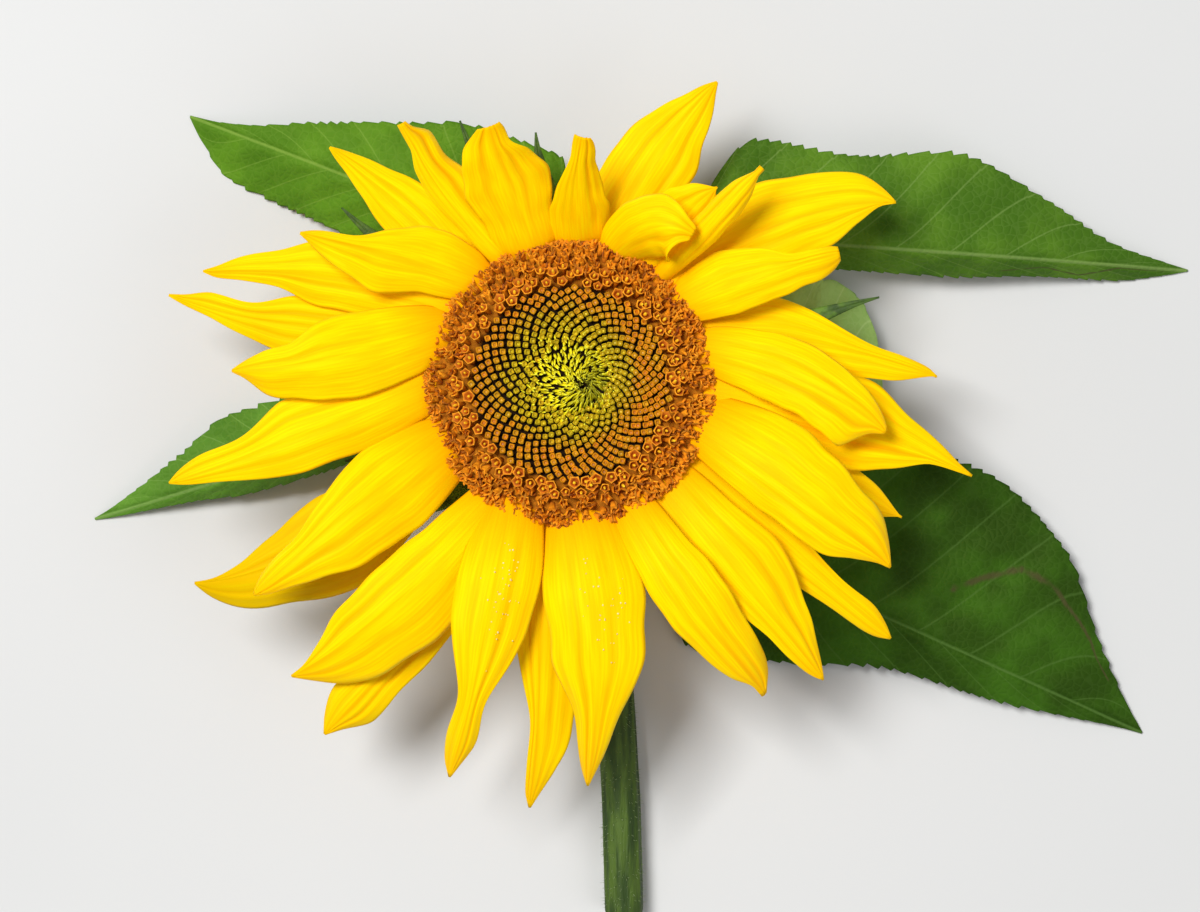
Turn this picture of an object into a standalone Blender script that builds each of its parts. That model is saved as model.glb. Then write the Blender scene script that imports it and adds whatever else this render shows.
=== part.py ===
"""Sunflower head as picked: a flower in bloom on a short cut stem, lying on its back.

The stem lies along -Y on the surface, the neck turns up, and the head faces up,
leaning a little toward +Y.  Run it with: blender --background --python part.py
"""

import math
from dataclasses import dataclass

import bpy
import bmesh
from mathutils import Matrix, Vector

MM = 0.001

# ---- driving dimensions, in millimetres and degrees ----
HEAD_HEIGHT = 50.0        # centre of the flower's face above the surface
HEAD_LEAN = 8.0           # lean of the face toward +Y
RIM_RADIUS = 40.5         # receptacle rim, the edge of the disc
PETAL_ROOT = 43.2         # ring on which the ray petals are rooted
PETAL_THICKNESS = 0.8
BRACT_THICKNESS = 1.0
LEAF_THICKNESS = 0.8
STEM_RADIUS = 6.3
PETIOLE_RADIUS = 1.9
BUD_RADIUS = 30.0         # inside it the florets are still closed
CENTER_RADIUS = 15.0      # inside it they are green
SEAM = 0.3                # gap between neighbouring pieces
SURFACE = 0.5             # lowest height of a leaf's middle layer

# Heights of the petal roots on the rim: three tiers.
FRONT, MIDDLE, BACK = 1.0, -1.6, -4.2


@dataclass
class Petal:
    """One ray petal: root on the ring, tip by reach and heading, and its shape."""

    clock: float          # direction of the root around the head
    reach: float          # distance of the tip from the head's centre, in plan
    heading: float        # direction of the tip from the head's centre
    tip: float            # height of the tip
    width: float          # greatest width
    tier: float           # height of the root on the rim
    lift: float = 0.0     # rise of the middle above the line from root to tip
    bow: float = 0.0      # sideways bow of the middle
    fold: float = 0.5     # half angle of the rounded cross-section
    roll: float = 0.0     # turn of the blade about its own length
    widest: float = 0.45  # where along the length it is widest
    full: float = 2.2     # how long it stays wide beyond that


PETALS = [
    Petal(75, 101, 64, 46, 24, BACK, lift=-1, bow=3),
    Petal(87, 72, 87, 68, 14.5, MIDDLE, lift=2, bow=1.5, fold=0.7, full=5.0),
    Petal(107, 79, 107.5, 65, 26, FRONT, lift=1, fold=0.7, full=5.0),
    Petal(119, 92, 123, 57, 14, MIDDLE, lift=0, bow=2, fold=0.9, full=3.0),
    Petal(132, 102, 135.5, 42, 18, BACK, lift=-1, bow=-1),
    Petal(134, 92, 151, 56, 21, FRONT, lift=3, bow=-1, fold=0.6),
    Petal(146, 116, 163, 43, 18, MIDDLE, lift=1, bow=-3.6),
    Petal(155, 125, 167.5, 37, 16, BACK, lift=0, bow=5),
    Petal(160, 101, 178, 55, 24.5, FRONT, lift=6, bow=2.5, fold=0.6),
    Petal(181, 124, 194, 50, 20.5, MIDDLE, lift=4, bow=1, widest=0.4),
    Petal(204, 128, 208, 44, 25, BACK, lift=1, bow=11, widest=0.55),
    Petal(205.5, 113, 214, 61, 25, FRONT, lift=8, bow=-1, fold=0.6),
    Petal(239, 121, 226.5, 53, 28, MIDDLE, lift=8, bow=4, fold=0.6, widest=0.5, full=2.8),
    Petal(242, 129, 235, 46, 18, BACK, lift=2, bow=2.5),
    Petal(247, 123.5, 253, 51, 24, FRONT, lift=13, bow=1.5, fold=0.6, widest=0.36, full=1.5),
    Petal(260, 129, 264.5, 40, 18.5, BACK, lift=9, bow=1.5, widest=0.5),
    Petal(273, 121, 272.5, 49, 31.5, FRONT, lift=14, bow=3.5, fold=0.6, widest=0.42, full=1.9),
    Petal(296, 110, 302, 53, 21, FRONT, lift=11, bow=-1.5, fold=0.6),
    Petal(313, 117, 310.5, 51, 24, MIDDLE, lift=7),
    Petal(327, 123.5, 321.5, 45, 14.5, BACK, lift=2, bow=-0.7),
    Petal(340, 110, 330, 60, 26, FRONT, lift=8, bow=1, fold=0.6, full=3.0),
    Petal(342, 108, 338, 43, 19, BACK, lift=-1, bow=1),
    Petal(356, 124, 347, 48, 25, MIDDLE, lift=2, bow=3),
    Petal(13.5, 95, 351, 60, 22.5, FRONT, lift=5, bow=4, fold=0.6, full=3.0),
    Petal(21, 110.5, 1, 46, 18.5, BACK, lift=1, bow=3.5),
    Petal(34, 89, 25.5, 58, 19, FRONT, lift=3, bow=1, fold=0.6),
    Petal(45, 112, 29, 48, 25.5, MIDDLE, lift=1, bow=7),
    Petal(50, 85, 48, 67, 9, FRONT + 0.6, lift=5, fold=1.3, full=3.0),
    Petal(61, 73, 53, 56, 19, MIDDLE + 0.8, lift=1, bow=1),
    Petal(72, 57, 50, 64, 19, FRONT, lift=9, bow=4.6, fold=0.8, full=3.5),
]

# Bracts: direction, reach of the tip, height of the tip, and whorl (inner is True).
BRACTS = [
    (15, 97, 42, True), (36, 70, 35, False), (56, 68, 38, True), (76, 66, 33, False),
    (97, 77, 38, True), (112, 87, 34, False), (126, 68, 35, True), (142, 88, 34, False),
    (158, 66, 37, True), (176, 66, 35, False), (199, 72, 42, True), (221, 66, 38, False),
    (240, 70, 44, True), (258, 66, 40, False), (279, 70, 45, True), (299, 66, 39, False),
    (318, 70, 43, True), (337, 68, 36, False), (357, 72, 40, True),
]
BRACT_WIDTH = 10.0
BRACT_CURVE = [(0.0, 0.75), (0.2, 1.0), (0.45, 0.8), (0.7, 0.42), (0.88, 0.16), (1.0, 0.04)]

# Where the stations of a leaf blade lie, from its base to its tip.
BLADE_STATIONS = (0.0, 0.12, 0.3, 0.5, 0.7, 0.85, 0.95, 1.0)
LEAF_CUTS = (-1.0, -0.55, 0.0, 0.55, 1.0)
STALK_STEPS = 4


@dataclass
class Leaf:
    """One leaf: a petiole from the stem, and a blade given by its half widths."""

    name: str
    grip: float           # place on the stem, 0 at the cut and 1 at the head
    base: tuple           # where the blade starts
    tip: tuple
    lift: float           # rise of the midrib above the line from base to tip
    left: tuple           # half widths in plan on the left, looking to the tip
    right: tuple
    left_fall: float      # drop per unit of half width
    right_fall: float


LEAVES = [
    Leaf("leaf_upper_left", 0.92, (-1, 38, 20), (-120, 85, 0.6), 6,
         (4, 16, 19, 17, 15.5, 14, 6, 0.5), (8, 30, 29.5, 21.5, 12, 4, 1, 0.5), 0.55, 0.08),
    Leaf("leaf_upper_right", 0.89, (38, 46, 24), (194, 36.5, 0.6), 6,
         (20, 31, 28, 31, 18.5, 6, 2, 0.5), (3, 6, 7, 7, 5, 4.5, 2, 0.5), 0.1, 1.2),
    Leaf("leaf_left", 0.84, (-50, -12, 21), (-150, -41.7, 0.6), 3,
         (3, 5, 6.6, 6.4, 3.5, 2, 1, 0.5), (5, 16, 19, 19, 11, 5, 1.5, 0.5), 0.9, 0.15),
    Leaf("leaf_lower_right", 0.8, (34, -43, 13), (179.6, -109, 0.6), 5,
         (12, 40, 51, 54, 43, 20, 6, 0.5), (14, 34, 26, 14, 10, 5, 1.5, 0.5), 0.06, 0.32),
    Leaf("leaf_small_right", 0.87, (34, 2, 18), (97, -2, 12), 2,
         (6, 20, 30, 33, 34, 29, 18, 0.5), (6, 13, 17, 18, 15, 9, 4, 0.5), 0.1, 0.15),
]

# Centre line of the stem: the lying part as points, the neck as one curve.
STEM_LINE = [(16.5, -165, 6.5), (15.5, -130, 6.5), (13, -90, 6.5), (9, -55, 6.5)]
NECK_CURVE = [(5.5, -32, 6.5), (4, -14, 6.5), (0.3, -5.2, 14), (0, -2.9, 29.7)]
NECK_STEPS = 7
STEM_SIDES = 16

# Receptacle outline in the head's own frame: radius and height from the face.
RECEPTACLE_OUTLINE = [
    (7.4, -20), (16, -18.4), (27, -15.4), (35, -11.4), (38.8, -7.4), (40.5, -3.6),
]
RECEPTACLE_TOP = -3.0
RECEPTACLE_SIDES = 40

COLORS = {
    "petal_yellow": ((0.95, 0.62, 0.01), 0.5),
    "bract_green": ((0.12, 0.2, 0.02), 0.6),
    "leaf_green": ((0.08, 0.22, 0.03), 0.55),
    "stem_green": ((0.14, 0.24, 0.05), 0.6),
    "receptacle_green": ((0.16, 0.24, 0.06), 0.7),
    "open_floret_orange": ((0.5, 0.16, 0.01), 0.7),
    "bud_ochre": ((0.3, 0.13, 0.015), 0.75),
    "center_green": ((0.3, 0.34, 0.02), 0.7),
}


def head_matrix():
    """Frame of the flower's face: origin at its centre, Z out of the face."""
    lean = Matrix.Rotation(-math.radians(HEAD_LEAN), 4, "X")
    return Matrix.Translation((0, 0, HEAD_HEIGHT)) @ lean


def on_head(radius, clock, height):
    """World point at a radius, direction and height in the head's frame."""
    turn = math.radians(clock)
    return head_matrix() @ Vector((radius * math.cos(turn), radius * math.sin(turn), height))


def bezier(points, t):
    """Point on a cubic curve with four control points."""
    a, b, c, d = (Vector(p) for p in points)
    s = 1 - t
    return a * s**3 + b * 3 * s * s * t + c * 3 * s * t * t + d * t**3


def interpolate(table, x):
    """Straight-line value of a table of (x, y) pairs."""
    for (x0, y0), (x1, y1) in zip(table, table[1:]):
        if x <= x1:
            return y0 + (y1 - y0) * (x - x0) / (x1 - x0)
    return table[-1][1]


def make_material(slot):
    """Principled material of one slot."""
    color, roughness = COLORS[slot]
    material = bpy.data.materials.get(slot) or bpy.data.materials.new(slot)
    material.use_nodes = True
    shader = material.node_tree.nodes["Principled BSDF"]
    shader.inputs["Base Color"].default_value = (*color, 1.0)
    shader.inputs["Roughness"].default_value = roughness
    shader.inputs["Metallic"].default_value = 0.0
    material.diffuse_color = (*color, 1.0)
    return material


def add_object(name, slot, rows, closed_rows=False):
    """Closed solid from rings of points: each row is a closed loop of the body."""
    mesh = bpy.data.meshes.new(name)
    bm = bmesh.new()
    rings = [[bm.verts.new(Vector(p) * MM) for p in row] for row in rows]
    pairs = list(zip(rings, rings[1:]))
    if closed_rows:
        pairs.append((rings[-1], rings[0]))
    for ring, after in pairs:
        count = len(ring)
        for i in range(count):
            j = (i + 1) % count
            bm.faces.new((ring[i], ring[j], after[j], after[i]))
    if not closed_rows:
        bm.faces.new(list(reversed(rings[0])))
        bm.faces.new(rings[-1])
    bmesh.ops.triangulate(bm, faces=bm.faces[:])
    bmesh.ops.recalc_face_normals(bm, faces=bm.faces[:])
    bm.to_mesh(mesh)
    bm.free()
    mesh.materials.append(make_material(slot))
    part = bpy.data.objects.new(name, mesh)
    bpy.context.collection.objects.link(part)
    return part


def blade_ring(center, side, up, section, thickness):
    """Cross-section of a thin blade: out along its top and back along its bottom.

    section lists (across, height) pairs of the blade's middle layer.
    """
    top, bottom = [], []
    for across, height in section:
        middle = center + side * across + up * height
        top.append(middle + up * thickness / 2)
        bottom.append(middle - up * thickness / 2)
    return top + bottom[::-1]


# ---- ray petals ----

PETAL_STATIONS = (0.0, 0.12, 0.28, 0.45, 0.62, 0.78, 0.91, 1.0)
PETAL_CUTS = (-1.0, -0.5, 0.0, 0.5, 1.0)
ROOT_WIDTH = 0.42         # width at the root, of the greatest width


def petal_center(petal, u):
    """Point on the middle line of a petal, from root (0) to tip (1)."""
    root = on_head(PETAL_ROOT, petal.clock, petal.tier)
    turn = math.radians(petal.heading)
    tip = Vector((petal.reach * math.cos(turn), petal.reach * math.sin(turn), petal.tip))
    along = tip - root
    aside = Vector((-along.y, along.x, 0)).normalized()
    arc = 4 * u * (1 - u)
    return root + along * u + aside * petal.bow * arc + Vector((0, 0, petal.lift * arc))


def petal_width(petal, u):
    """Half width of a petal at u."""
    if u < petal.widest:
        share = ROOT_WIDTH + (1 - ROOT_WIDTH) * math.sin(math.pi / 2 * u / petal.widest)
    else:
        beyond = (u - petal.widest) / (1 - petal.widest)
        share = (1 - beyond**petal.full) ** 1.4
    return max(petal.width / 2 * share, 0.5)


def petal_frame(petal, u):
    """Side and up directions of the blade at u."""
    ahead = petal_center(petal, min(u + 0.02, 1.0)) - petal_center(petal, max(u - 0.02, 0.0))
    side = Vector((-ahead.y, ahead.x, 0)).normalized()
    up = ahead.cross(side).normalized()
    spin = Matrix.Rotation(math.radians(petal.roll), 3, ahead.normalized())
    return spin @ side, spin @ up


def build_petal(name, petal):
    """One petal as a thin rounded blade."""
    rows = []
    for u in PETAL_STATIONS:
        side, up = petal_frame(petal, u)
        radius = petal_width(petal, u) / math.sin(petal.fold)
        section = []
        for v in PETAL_CUTS:
            turn = petal.fold * v
            section.append((radius * math.sin(turn), radius * (math.cos(turn) - 1)))
        rows.append(blade_ring(petal_center(petal, u), side, up, section, PETAL_THICKNESS))
    return add_object(name, "petal_yellow", rows)


# ---- bracts ----

INNER_WHORL = (41.6, -7.6)    # radius and height of the roots in the head's frame
OUTER_WHORL = (38.6, -12.2)
BRACT_FOLD = 0.16             # drop of the edges, of the half width


def build_bract(name, clock, reach, tip_height, inner):
    """One pointed bract under the petals."""
    radius, height = INNER_WHORL if inner else OUTER_WHORL
    root = on_head(radius, clock, height)
    turn = math.radians(clock)
    tip = Vector((reach * math.cos(turn), reach * math.sin(turn), tip_height))
    along = tip - root
    side = Vector((-along.y, along.x, 0)).normalized()
    up = along.cross(side).normalized()
    rows = []
    for u, share in BRACT_CURVE:
        half = max(BRACT_WIDTH / 2 * share, 0.5)
        edge = -BRACT_FOLD * half
        section = [(-half, edge), (0, 0), (half, edge)]
        rows.append(blade_ring(root + along * u, side, up, section, BRACT_THICKNESS))
    return add_object(name, "bract_green", rows)


# ---- stem and leaves ----

def stem_points():
    """Centre line of the stem from the cut to the head."""
    points = [Vector(p) for p in STEM_LINE]
    points += [bezier(NECK_CURVE, i / NECK_STEPS) for i in range(NECK_STEPS + 1)]
    return points


def stem_at(share):
    """Point and direction on the stem, at a share of its centre line."""
    points = stem_points()
    lengths = [(b - a).length for a, b in zip(points, points[1:])]
    left = share * sum(lengths)
    for a, b, length in zip(points, points[1:], lengths):
        if left <= length:
            return a.lerp(b, left / length), (b - a).normalized()
        left -= length
    return points[-1], (points[-1] - points[-2]).normalized()


def build_stem():
    """The cut stem, round, with a neck that turns up into the head."""
    points = stem_points()
    rows = []
    for i, center in enumerate(points):
        if i == len(points) - 1:
            ahead = head_matrix().to_3x3() @ Vector((0, 0, 1))
        else:
            ahead = (points[i + 1] - points[max(i - 1, 0)]).normalized()
        up = Vector((1, 0, 0)).cross(ahead).normalized()
        side = ahead.cross(up).normalized()
        ring = []
        for k in range(STEM_SIDES):
            turn = 2 * math.pi * k / STEM_SIDES
            ring.append(center + (side * math.cos(turn) + up * math.sin(turn)) * STEM_RADIUS)
        rows.append(ring)
    return add_object("stem", "stem_green", rows)


def leaf_center(leaf, t):
    """Point on the midrib of the blade."""
    base, tip = Vector(leaf.base), Vector(leaf.tip)
    return base.lerp(tip, t) + Vector((0, 0, leaf.lift * 4 * t * (1 - t)))


def petiole_curve(leaf):
    """Control points of the stalk, from the stem to the base of the blade."""
    start, along = stem_at(leaf.grip)
    base = Vector(leaf.base)
    out = base - start
    out = (out - along * out.dot(along)).normalized()
    blade = (leaf_center(leaf, 0.1) - leaf_center(leaf, 0.0)).normalized()
    reach = (base - start).length / 3
    root = start + out * (STEM_RADIUS + SEAM + 0.1)
    return [root, root + out * reach, base - blade * reach, base]


def stalk_rings(leaf):
    """Cross-sections of the stalk, up to where the blade starts."""
    curve = petiole_curve(leaf)
    section = [(PETIOLE_RADIUS * v, 0) for v in LEAF_CUTS]
    rings = []
    for i in range(STALK_STEPS):
        t = i / STALK_STEPS
        ahead = bezier(curve, t + 0.05) - bezier(curve, max(t - 0.05, 0))
        side = Vector((-ahead.y, ahead.x, 0)).normalized()
        up = ahead.cross(side).normalized()
        rings.append(blade_ring(bezier(curve, t), side, up, section, PETIOLE_RADIUS * 2))
    return rings


def blade_section(leaf, height, left, right):
    """Half cross-sections that fall from the midrib, stopped at the surface."""
    section = []
    for v in LEAF_CUTS:
        across = v * (left if v > 0 else right)
        fall = abs(across) * (leaf.left_fall if v > 0 else leaf.right_fall)
        section.append((across, max(-fall, SURFACE - height)))
    return section


def build_leaf(leaf):
    """One leaf: stalk and blade as one body."""
    rows = stalk_rings(leaf)
    chord = Vector(leaf.tip) - Vector(leaf.base)
    side = Vector((-chord.y, chord.x, 0)).normalized()
    up = Vector((0, 0, 1))
    for t, left, right in zip(BLADE_STATIONS, leaf.left, leaf.right):
        center = leaf_center(leaf, t)
        section = blade_section(leaf, center.z, left, right)
        rows.append(blade_ring(center, side, up, section, LEAF_THICKNESS))
    return add_object(leaf.name, "leaf_green", rows)


# ---- receptacle and disc ----

def turned_rings(profile, sides):
    """Rings of a turned solid in the head's frame, from (radius, height) pairs."""
    return [[on_head(radius, 360 * k / sides, height) for k in range(sides)]
            for radius, height in profile]


def build_receptacle():
    """The green cup that carries the florets, petals and bracts."""
    profile = RECEPTACLE_OUTLINE + [(RIM_RADIUS, RECEPTACLE_TOP)]
    return add_object("receptacle", "receptacle_green", turned_rings(profile, RECEPTACLE_SIDES))


def knobbly_ring(name, slot, inner, outer, rows, sides, low, high, knob):
    """Band of florets as one solid: a ring whose top is raised in knobs."""
    base = RECEPTACLE_TOP + SEAM
    rings = [(inner, base)]
    for i in range(rows + 1):
        share = i / rows
        rings.append((inner + (outer - inner) * share, low + (high - low) * share))
    rings.append((outer, base))
    points = []
    for i, (radius, height) in enumerate(rings):
        row = []
        for k in range(sides):
            turn = 360 * (k + 0.5 * (i % 2)) / sides
            raised = knob if 1 < i < rows + 1 and (k + i) % 2 else 0.0
            row.append(on_head(radius, turn, height + raised))
        points.append(row)
    return add_object(name, slot, points, closed_rows=True)


def build_disc():
    """The three zones of florets: open, in bud, and green at the centre."""
    gap = SEAM / 2
    return [
        knobbly_ring("open_florets", "open_floret_orange", BUD_RADIUS + gap, RIM_RADIUS,
                     4, 48, 2.6, 1.2, 1.6),
        knobbly_ring("floret_buds", "bud_ochre", CENTER_RADIUS + gap, BUD_RADIUS - gap,
                     5, 40, 0.6, 1.4, 0.7),
        knobbly_ring("green_center", "center_green", 1.2, CENTER_RADIUS - gap,
                     4, 24, -0.6, 0.4, 0.6),
    ]


def settle(parts):
    """Carry every piece on one empty, placed so that the whole rests on z = 0."""
    points = [v.co for part in parts for v in part.data.vertices]
    low = Vector([min(p[i] for p in points) for i in range(3)])
    high = Vector([max(p[i] for p in points) for i in range(3)])
    rest = bpy.data.objects.new("sunflower", None)
    rest.location = (-(low.x + high.x) / 2, -(low.y + high.y) / 2, -low.z)
    bpy.context.collection.objects.link(rest)
    for part in parts:
        part.parent = rest


def main():
    """Build every piece of the flower head."""
    for item in list(bpy.data.objects):
        bpy.data.objects.remove(item, do_unlink=True)
    parts = [build_petal(f"ray_petal_{i:02d}", p) for i, p in enumerate(PETALS, start=1)]
    parts += [build_bract(f"bract_{i:02d}", *row) for i, row in enumerate(BRACTS, start=1)]
    parts += [build_leaf(leaf) for leaf in LEAVES]
    parts += [build_stem(), build_receptacle()]
    parts += build_disc()
    settle(parts)


main()
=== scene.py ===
"""Looks of a sunflower in bloom, picked and laid on its back with its leaves and cut stem.

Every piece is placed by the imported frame.  Shapes are worked out in millimetres in the
flower's own frame, whose origin lies on the surface under the middle of the face, and
are then moved to the place that the frame gives.
"""

import logging
import math
from collections.abc import Iterator
from contextlib import contextmanager
from dataclasses import dataclass, field
from enum import Enum
from itertools import cycle

import bpy
import numpy as np
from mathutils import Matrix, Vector


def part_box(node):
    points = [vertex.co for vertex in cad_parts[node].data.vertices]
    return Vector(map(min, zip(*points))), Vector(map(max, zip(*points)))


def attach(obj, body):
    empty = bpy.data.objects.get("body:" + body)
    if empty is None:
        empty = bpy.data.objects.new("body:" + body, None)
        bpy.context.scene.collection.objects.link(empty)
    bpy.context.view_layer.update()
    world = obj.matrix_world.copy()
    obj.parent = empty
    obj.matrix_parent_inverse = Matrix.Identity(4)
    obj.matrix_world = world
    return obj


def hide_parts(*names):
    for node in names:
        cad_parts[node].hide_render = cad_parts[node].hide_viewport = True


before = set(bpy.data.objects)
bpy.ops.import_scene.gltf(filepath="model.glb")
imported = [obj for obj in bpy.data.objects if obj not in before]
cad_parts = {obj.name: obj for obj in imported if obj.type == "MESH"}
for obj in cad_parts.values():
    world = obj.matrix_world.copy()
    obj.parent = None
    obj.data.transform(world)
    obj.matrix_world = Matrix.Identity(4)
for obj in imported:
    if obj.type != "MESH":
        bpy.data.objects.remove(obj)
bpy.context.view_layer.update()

MM = 0.001
BODY = "root"
WELD = 1e-6                   # points closer than this are one, in metres
HEAD_LEAN = math.radians(8.0)
LEAN_SIN, LEAN_COS = math.sin(HEAD_LEAN), math.cos(HEAD_LEAN)
FACE_HEIGHT = 50.0            # centre of the face above the surface
RIM_RADIUS = 40.5
RIM_TOP, RIM_SHOULDER = -3.0, -3.6
PETAL_RING = 43.2
FRONT, MIDDLE, BACK = 1.0, -1.6, -4.2
STEM_RADIUS = 6.3
SURFACE = 0.35                # lowest height of a leaf's middle layer
UP, ACROSS = np.array([0.0, 0.0, 1.0]), np.array([1.0, 0.0, 0.0])

log = logging.getLogger("sunflower")

Input = bpy.types.NodeSocket | float | tuple      # what feeds a node: a socket or a plain value
Color = tuple[float, float, float, float]
Point = tuple[float, float, float]
Pair = tuple[float, float]


class Slot(Enum):
    """Material slots of the record."""

    PETAL = "petal_yellow"
    BRACT = "bract_green"
    LEAF = "leaf_green"
    STEM = "stem_green"
    RECEPTACLE = "receptacle_green"
    OPEN = "open_floret_orange"
    BUD = "bud_ochre"
    CENTER = "center_green"


# ---------------------------------------------------------------- small mathematics

def unit(rows: np.ndarray) -> np.ndarray:
    """Rows scaled to length one.

    Args:
        rows: vectors, one per row.

    Returns:
        The unit vectors.
    """
    return rows / np.linalg.norm(rows, axis=-1, keepdims=True)


def sideways(ahead: np.ndarray) -> np.ndarray:
    """Level unit vectors to the left of given directions.

    Args:
        ahead: the directions, one per row.

    Returns:
        The unit vectors.
    """
    return unit(np.stack([-ahead[..., 1], ahead[..., 0], 0 * ahead[..., 0]], axis=-1))


def ramp(x: np.ndarray, low: float, high: float) -> np.ndarray:
    """Smooth step from 0 at low to 1 at high.

    Args:
        x: where to read the step.
        low: where the step begins.
        high: where it ends.

    Returns:
        Values from 0 to 1.
    """
    t = np.clip((np.asarray(x, float) - low) / (high - low), 0.0, 1.0)
    return t * t * (3 - 2 * t)


def smooth_curve(xs: tuple[float, ...], ys: tuple[float, ...], x: np.ndarray) -> np.ndarray:
    """Smooth line through points, kept from overshooting.

    Args:
        xs: rising places of the points.
        ys: values at them.
        x: where to read the line.

    Returns:
        The line's values.
    """
    xs, ys = np.asarray(xs, float), np.asarray(ys, float)
    slopes = np.diff(ys) / np.diff(xs)
    inner = np.where(slopes[:-1] * slopes[1:] > 0,
                     2 * slopes[:-1] * slopes[1:] / (slopes[:-1] + slopes[1:] + 1e-12), 0.0)
    tangents = np.concatenate(([slopes[0]], inner, [slopes[-1]]))
    i = np.clip(np.searchsorted(xs, x, side="right") - 1, 0, len(xs) - 2)
    width = xs[i + 1] - xs[i]
    t = np.clip((x - xs[i]) / width, 0.0, 1.0)
    return (ys[i] * (1 + 2 * t) * (1 - t) ** 2 + tangents[i] * width * t * (1 - t) ** 2
            + ys[i + 1] * t * t * (3 - 2 * t) + tangents[i + 1] * width * t * t * (t - 1))


def bezier(points: list[Point | np.ndarray], t: np.ndarray) -> np.ndarray:
    """Points on a cubic curve.

    Args:
        points: its four control points.
        t: places on it, from 0 to 1.

    Returns:
        One row for each place.
    """
    a, b, c, d = (np.asarray(p, float) for p in points)
    t = np.asarray(t, float)[:, None]
    s = 1 - t
    return a * s**3 + 3 * b * s * s * t + 3 * c * s * t * t + d * t**3


def ripple(x: np.ndarray, rng: np.random.Generator, waves: tuple[Pair, ...]) -> np.ndarray:
    """Sum of a few sine waves with random phases.

    Args:
        x: where to read it.
        rng: source of the phases.
        waves: pairs of (waves per unit, height).

    Returns:
        The sum.
    """
    total = np.zeros_like(np.asarray(x, float))
    for rate, height in waves:
        total += height * np.sin(2 * math.pi * (rate * x + rng.random()))
    return total


# ---------------------------------------------------------------- the flower's frame

@dataclass(frozen=True)
class Place:
    """Where the flower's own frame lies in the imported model."""

    origin: np.ndarray        # in metres

    @classmethod
    def from_frame(cls) -> "Place":
        """Read the place from the receptacle's box.

        Returns:
            The place.
        """
        low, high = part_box("receptacle")
        y = (low.y + high.y) / 2 - (RIM_TOP + RIM_SHOULDER) / 2 * LEAN_SIN * MM
        z = high.z - (RIM_RADIUS * LEAN_SIN + RIM_TOP * LEAN_COS + FACE_HEIGHT) * MM
        return cls(np.array([(low.x + high.x) / 2, y, z]))

    def world(self, points: np.ndarray) -> np.ndarray:
        """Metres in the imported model, from millimetres in the flower's frame."""
        return self.origin + np.asarray(points, float) * MM


def on_head(radius: np.ndarray, turn: np.ndarray, height: np.ndarray) -> np.ndarray:
    """Points given by radius, direction and height on the leaning face.

    Args:
        radius: distance from the axis, in millimetres.
        turn: direction round the axis, in radians.
        height: height above the face.

    Returns:
        Points in the flower's frame, one per row.
    """
    x, y = radius * np.cos(turn), radius * np.sin(turn)
    return np.stack(np.broadcast_arrays(
        x, y * LEAN_COS + height * LEAN_SIN,
        FACE_HEIGHT - y * LEAN_SIN + height * LEAN_COS), axis=-1)


PLACE = Place.from_frame()


# ---------------------------------------------------------------- modelling helpers

def deselect_all() -> None:
    """Leave nothing selected."""
    if bpy.context.mode != "OBJECT":
        bpy.ops.object.mode_set(mode="OBJECT")
    bpy.ops.object.select_all(action="DESELECT")


def activate(piece: bpy.types.Object) -> None:
    """Select one object alone and make it active.

    Args:
        piece: the object.
    """
    deselect_all()
    piece.select_set(True)
    bpy.context.view_layer.objects.active = piece


def new_grid(name: str, along: int,
             across: int) -> tuple[bpy.types.Object, np.ndarray, np.ndarray]:
    """Add a flat grid and read where each vertex is on it.

    Args:
        name: name of the piece.
        along: faces along the grid.
        across: faces across it.

    Returns:
        The object, and each vertex's place along (0 to 1) and across (-1 to 1).
    """
    deselect_all()
    bpy.ops.mesh.primitive_grid_add(x_subdivisions=along, y_subdivisions=across,
                                    size=1.0, calc_uvs=True)
    piece = bpy.context.object
    piece.name = piece.data.name = name
    flat = np.empty(len(piece.data.vertices) * 3)
    piece.data.vertices.foreach_get("co", flat)
    flat = flat.reshape(-1, 3)
    u = np.clip(flat[:, 0] - flat[:, 0].min(), 0, 1)
    v = np.clip(flat[:, 1] * 2, -1, 1)
    return piece, u, v


def set_points(piece: bpy.types.Object, points: np.ndarray) -> None:
    """Move a mesh's vertices to points of the flower's frame."""
    piece.data.vertices.foreach_set("co", PLACE.world(points).ravel())
    piece.data.update()


def set_attribute(piece: bpy.types.Object, name: str, values: np.ndarray) -> None:
    """Store one number per vertex."""
    layer = piece.data.attributes.new(name, "FLOAT", "POINT")
    layer.data.foreach_set("value", np.asarray(values, np.float32))


@contextmanager
def edit_mode() -> Iterator[None]:
    """Edit the active mesh, all selected; its faces are turned outward at the end.

    Returns:
        A context, left in object mode.
    """
    bpy.ops.object.mode_set(mode="EDIT")
    bpy.ops.mesh.select_all(action="SELECT")
    yield
    bpy.ops.mesh.select_all(action="SELECT")
    bpy.ops.mesh.normals_make_consistent(inside=False)
    bpy.ops.object.mode_set(mode="OBJECT")


def join_onto(piece: bpy.types.Object, other: bpy.types.Object) -> None:
    """Join another object onto a piece.

    Args:
        piece: the piece.
        other: the object, which ends as part of it.
    """
    activate(piece)
    other.select_set(True)
    bpy.ops.object.join()


def weld(piece: bpy.types.Object) -> None:
    """Merge a mesh's doubles and turn its faces outward.

    Args:
        piece: the object.
    """
    activate(piece)
    with edit_mode():
        bpy.ops.mesh.remove_doubles(threshold=WELD)
    bpy.ops.object.shade_smooth()


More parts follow.
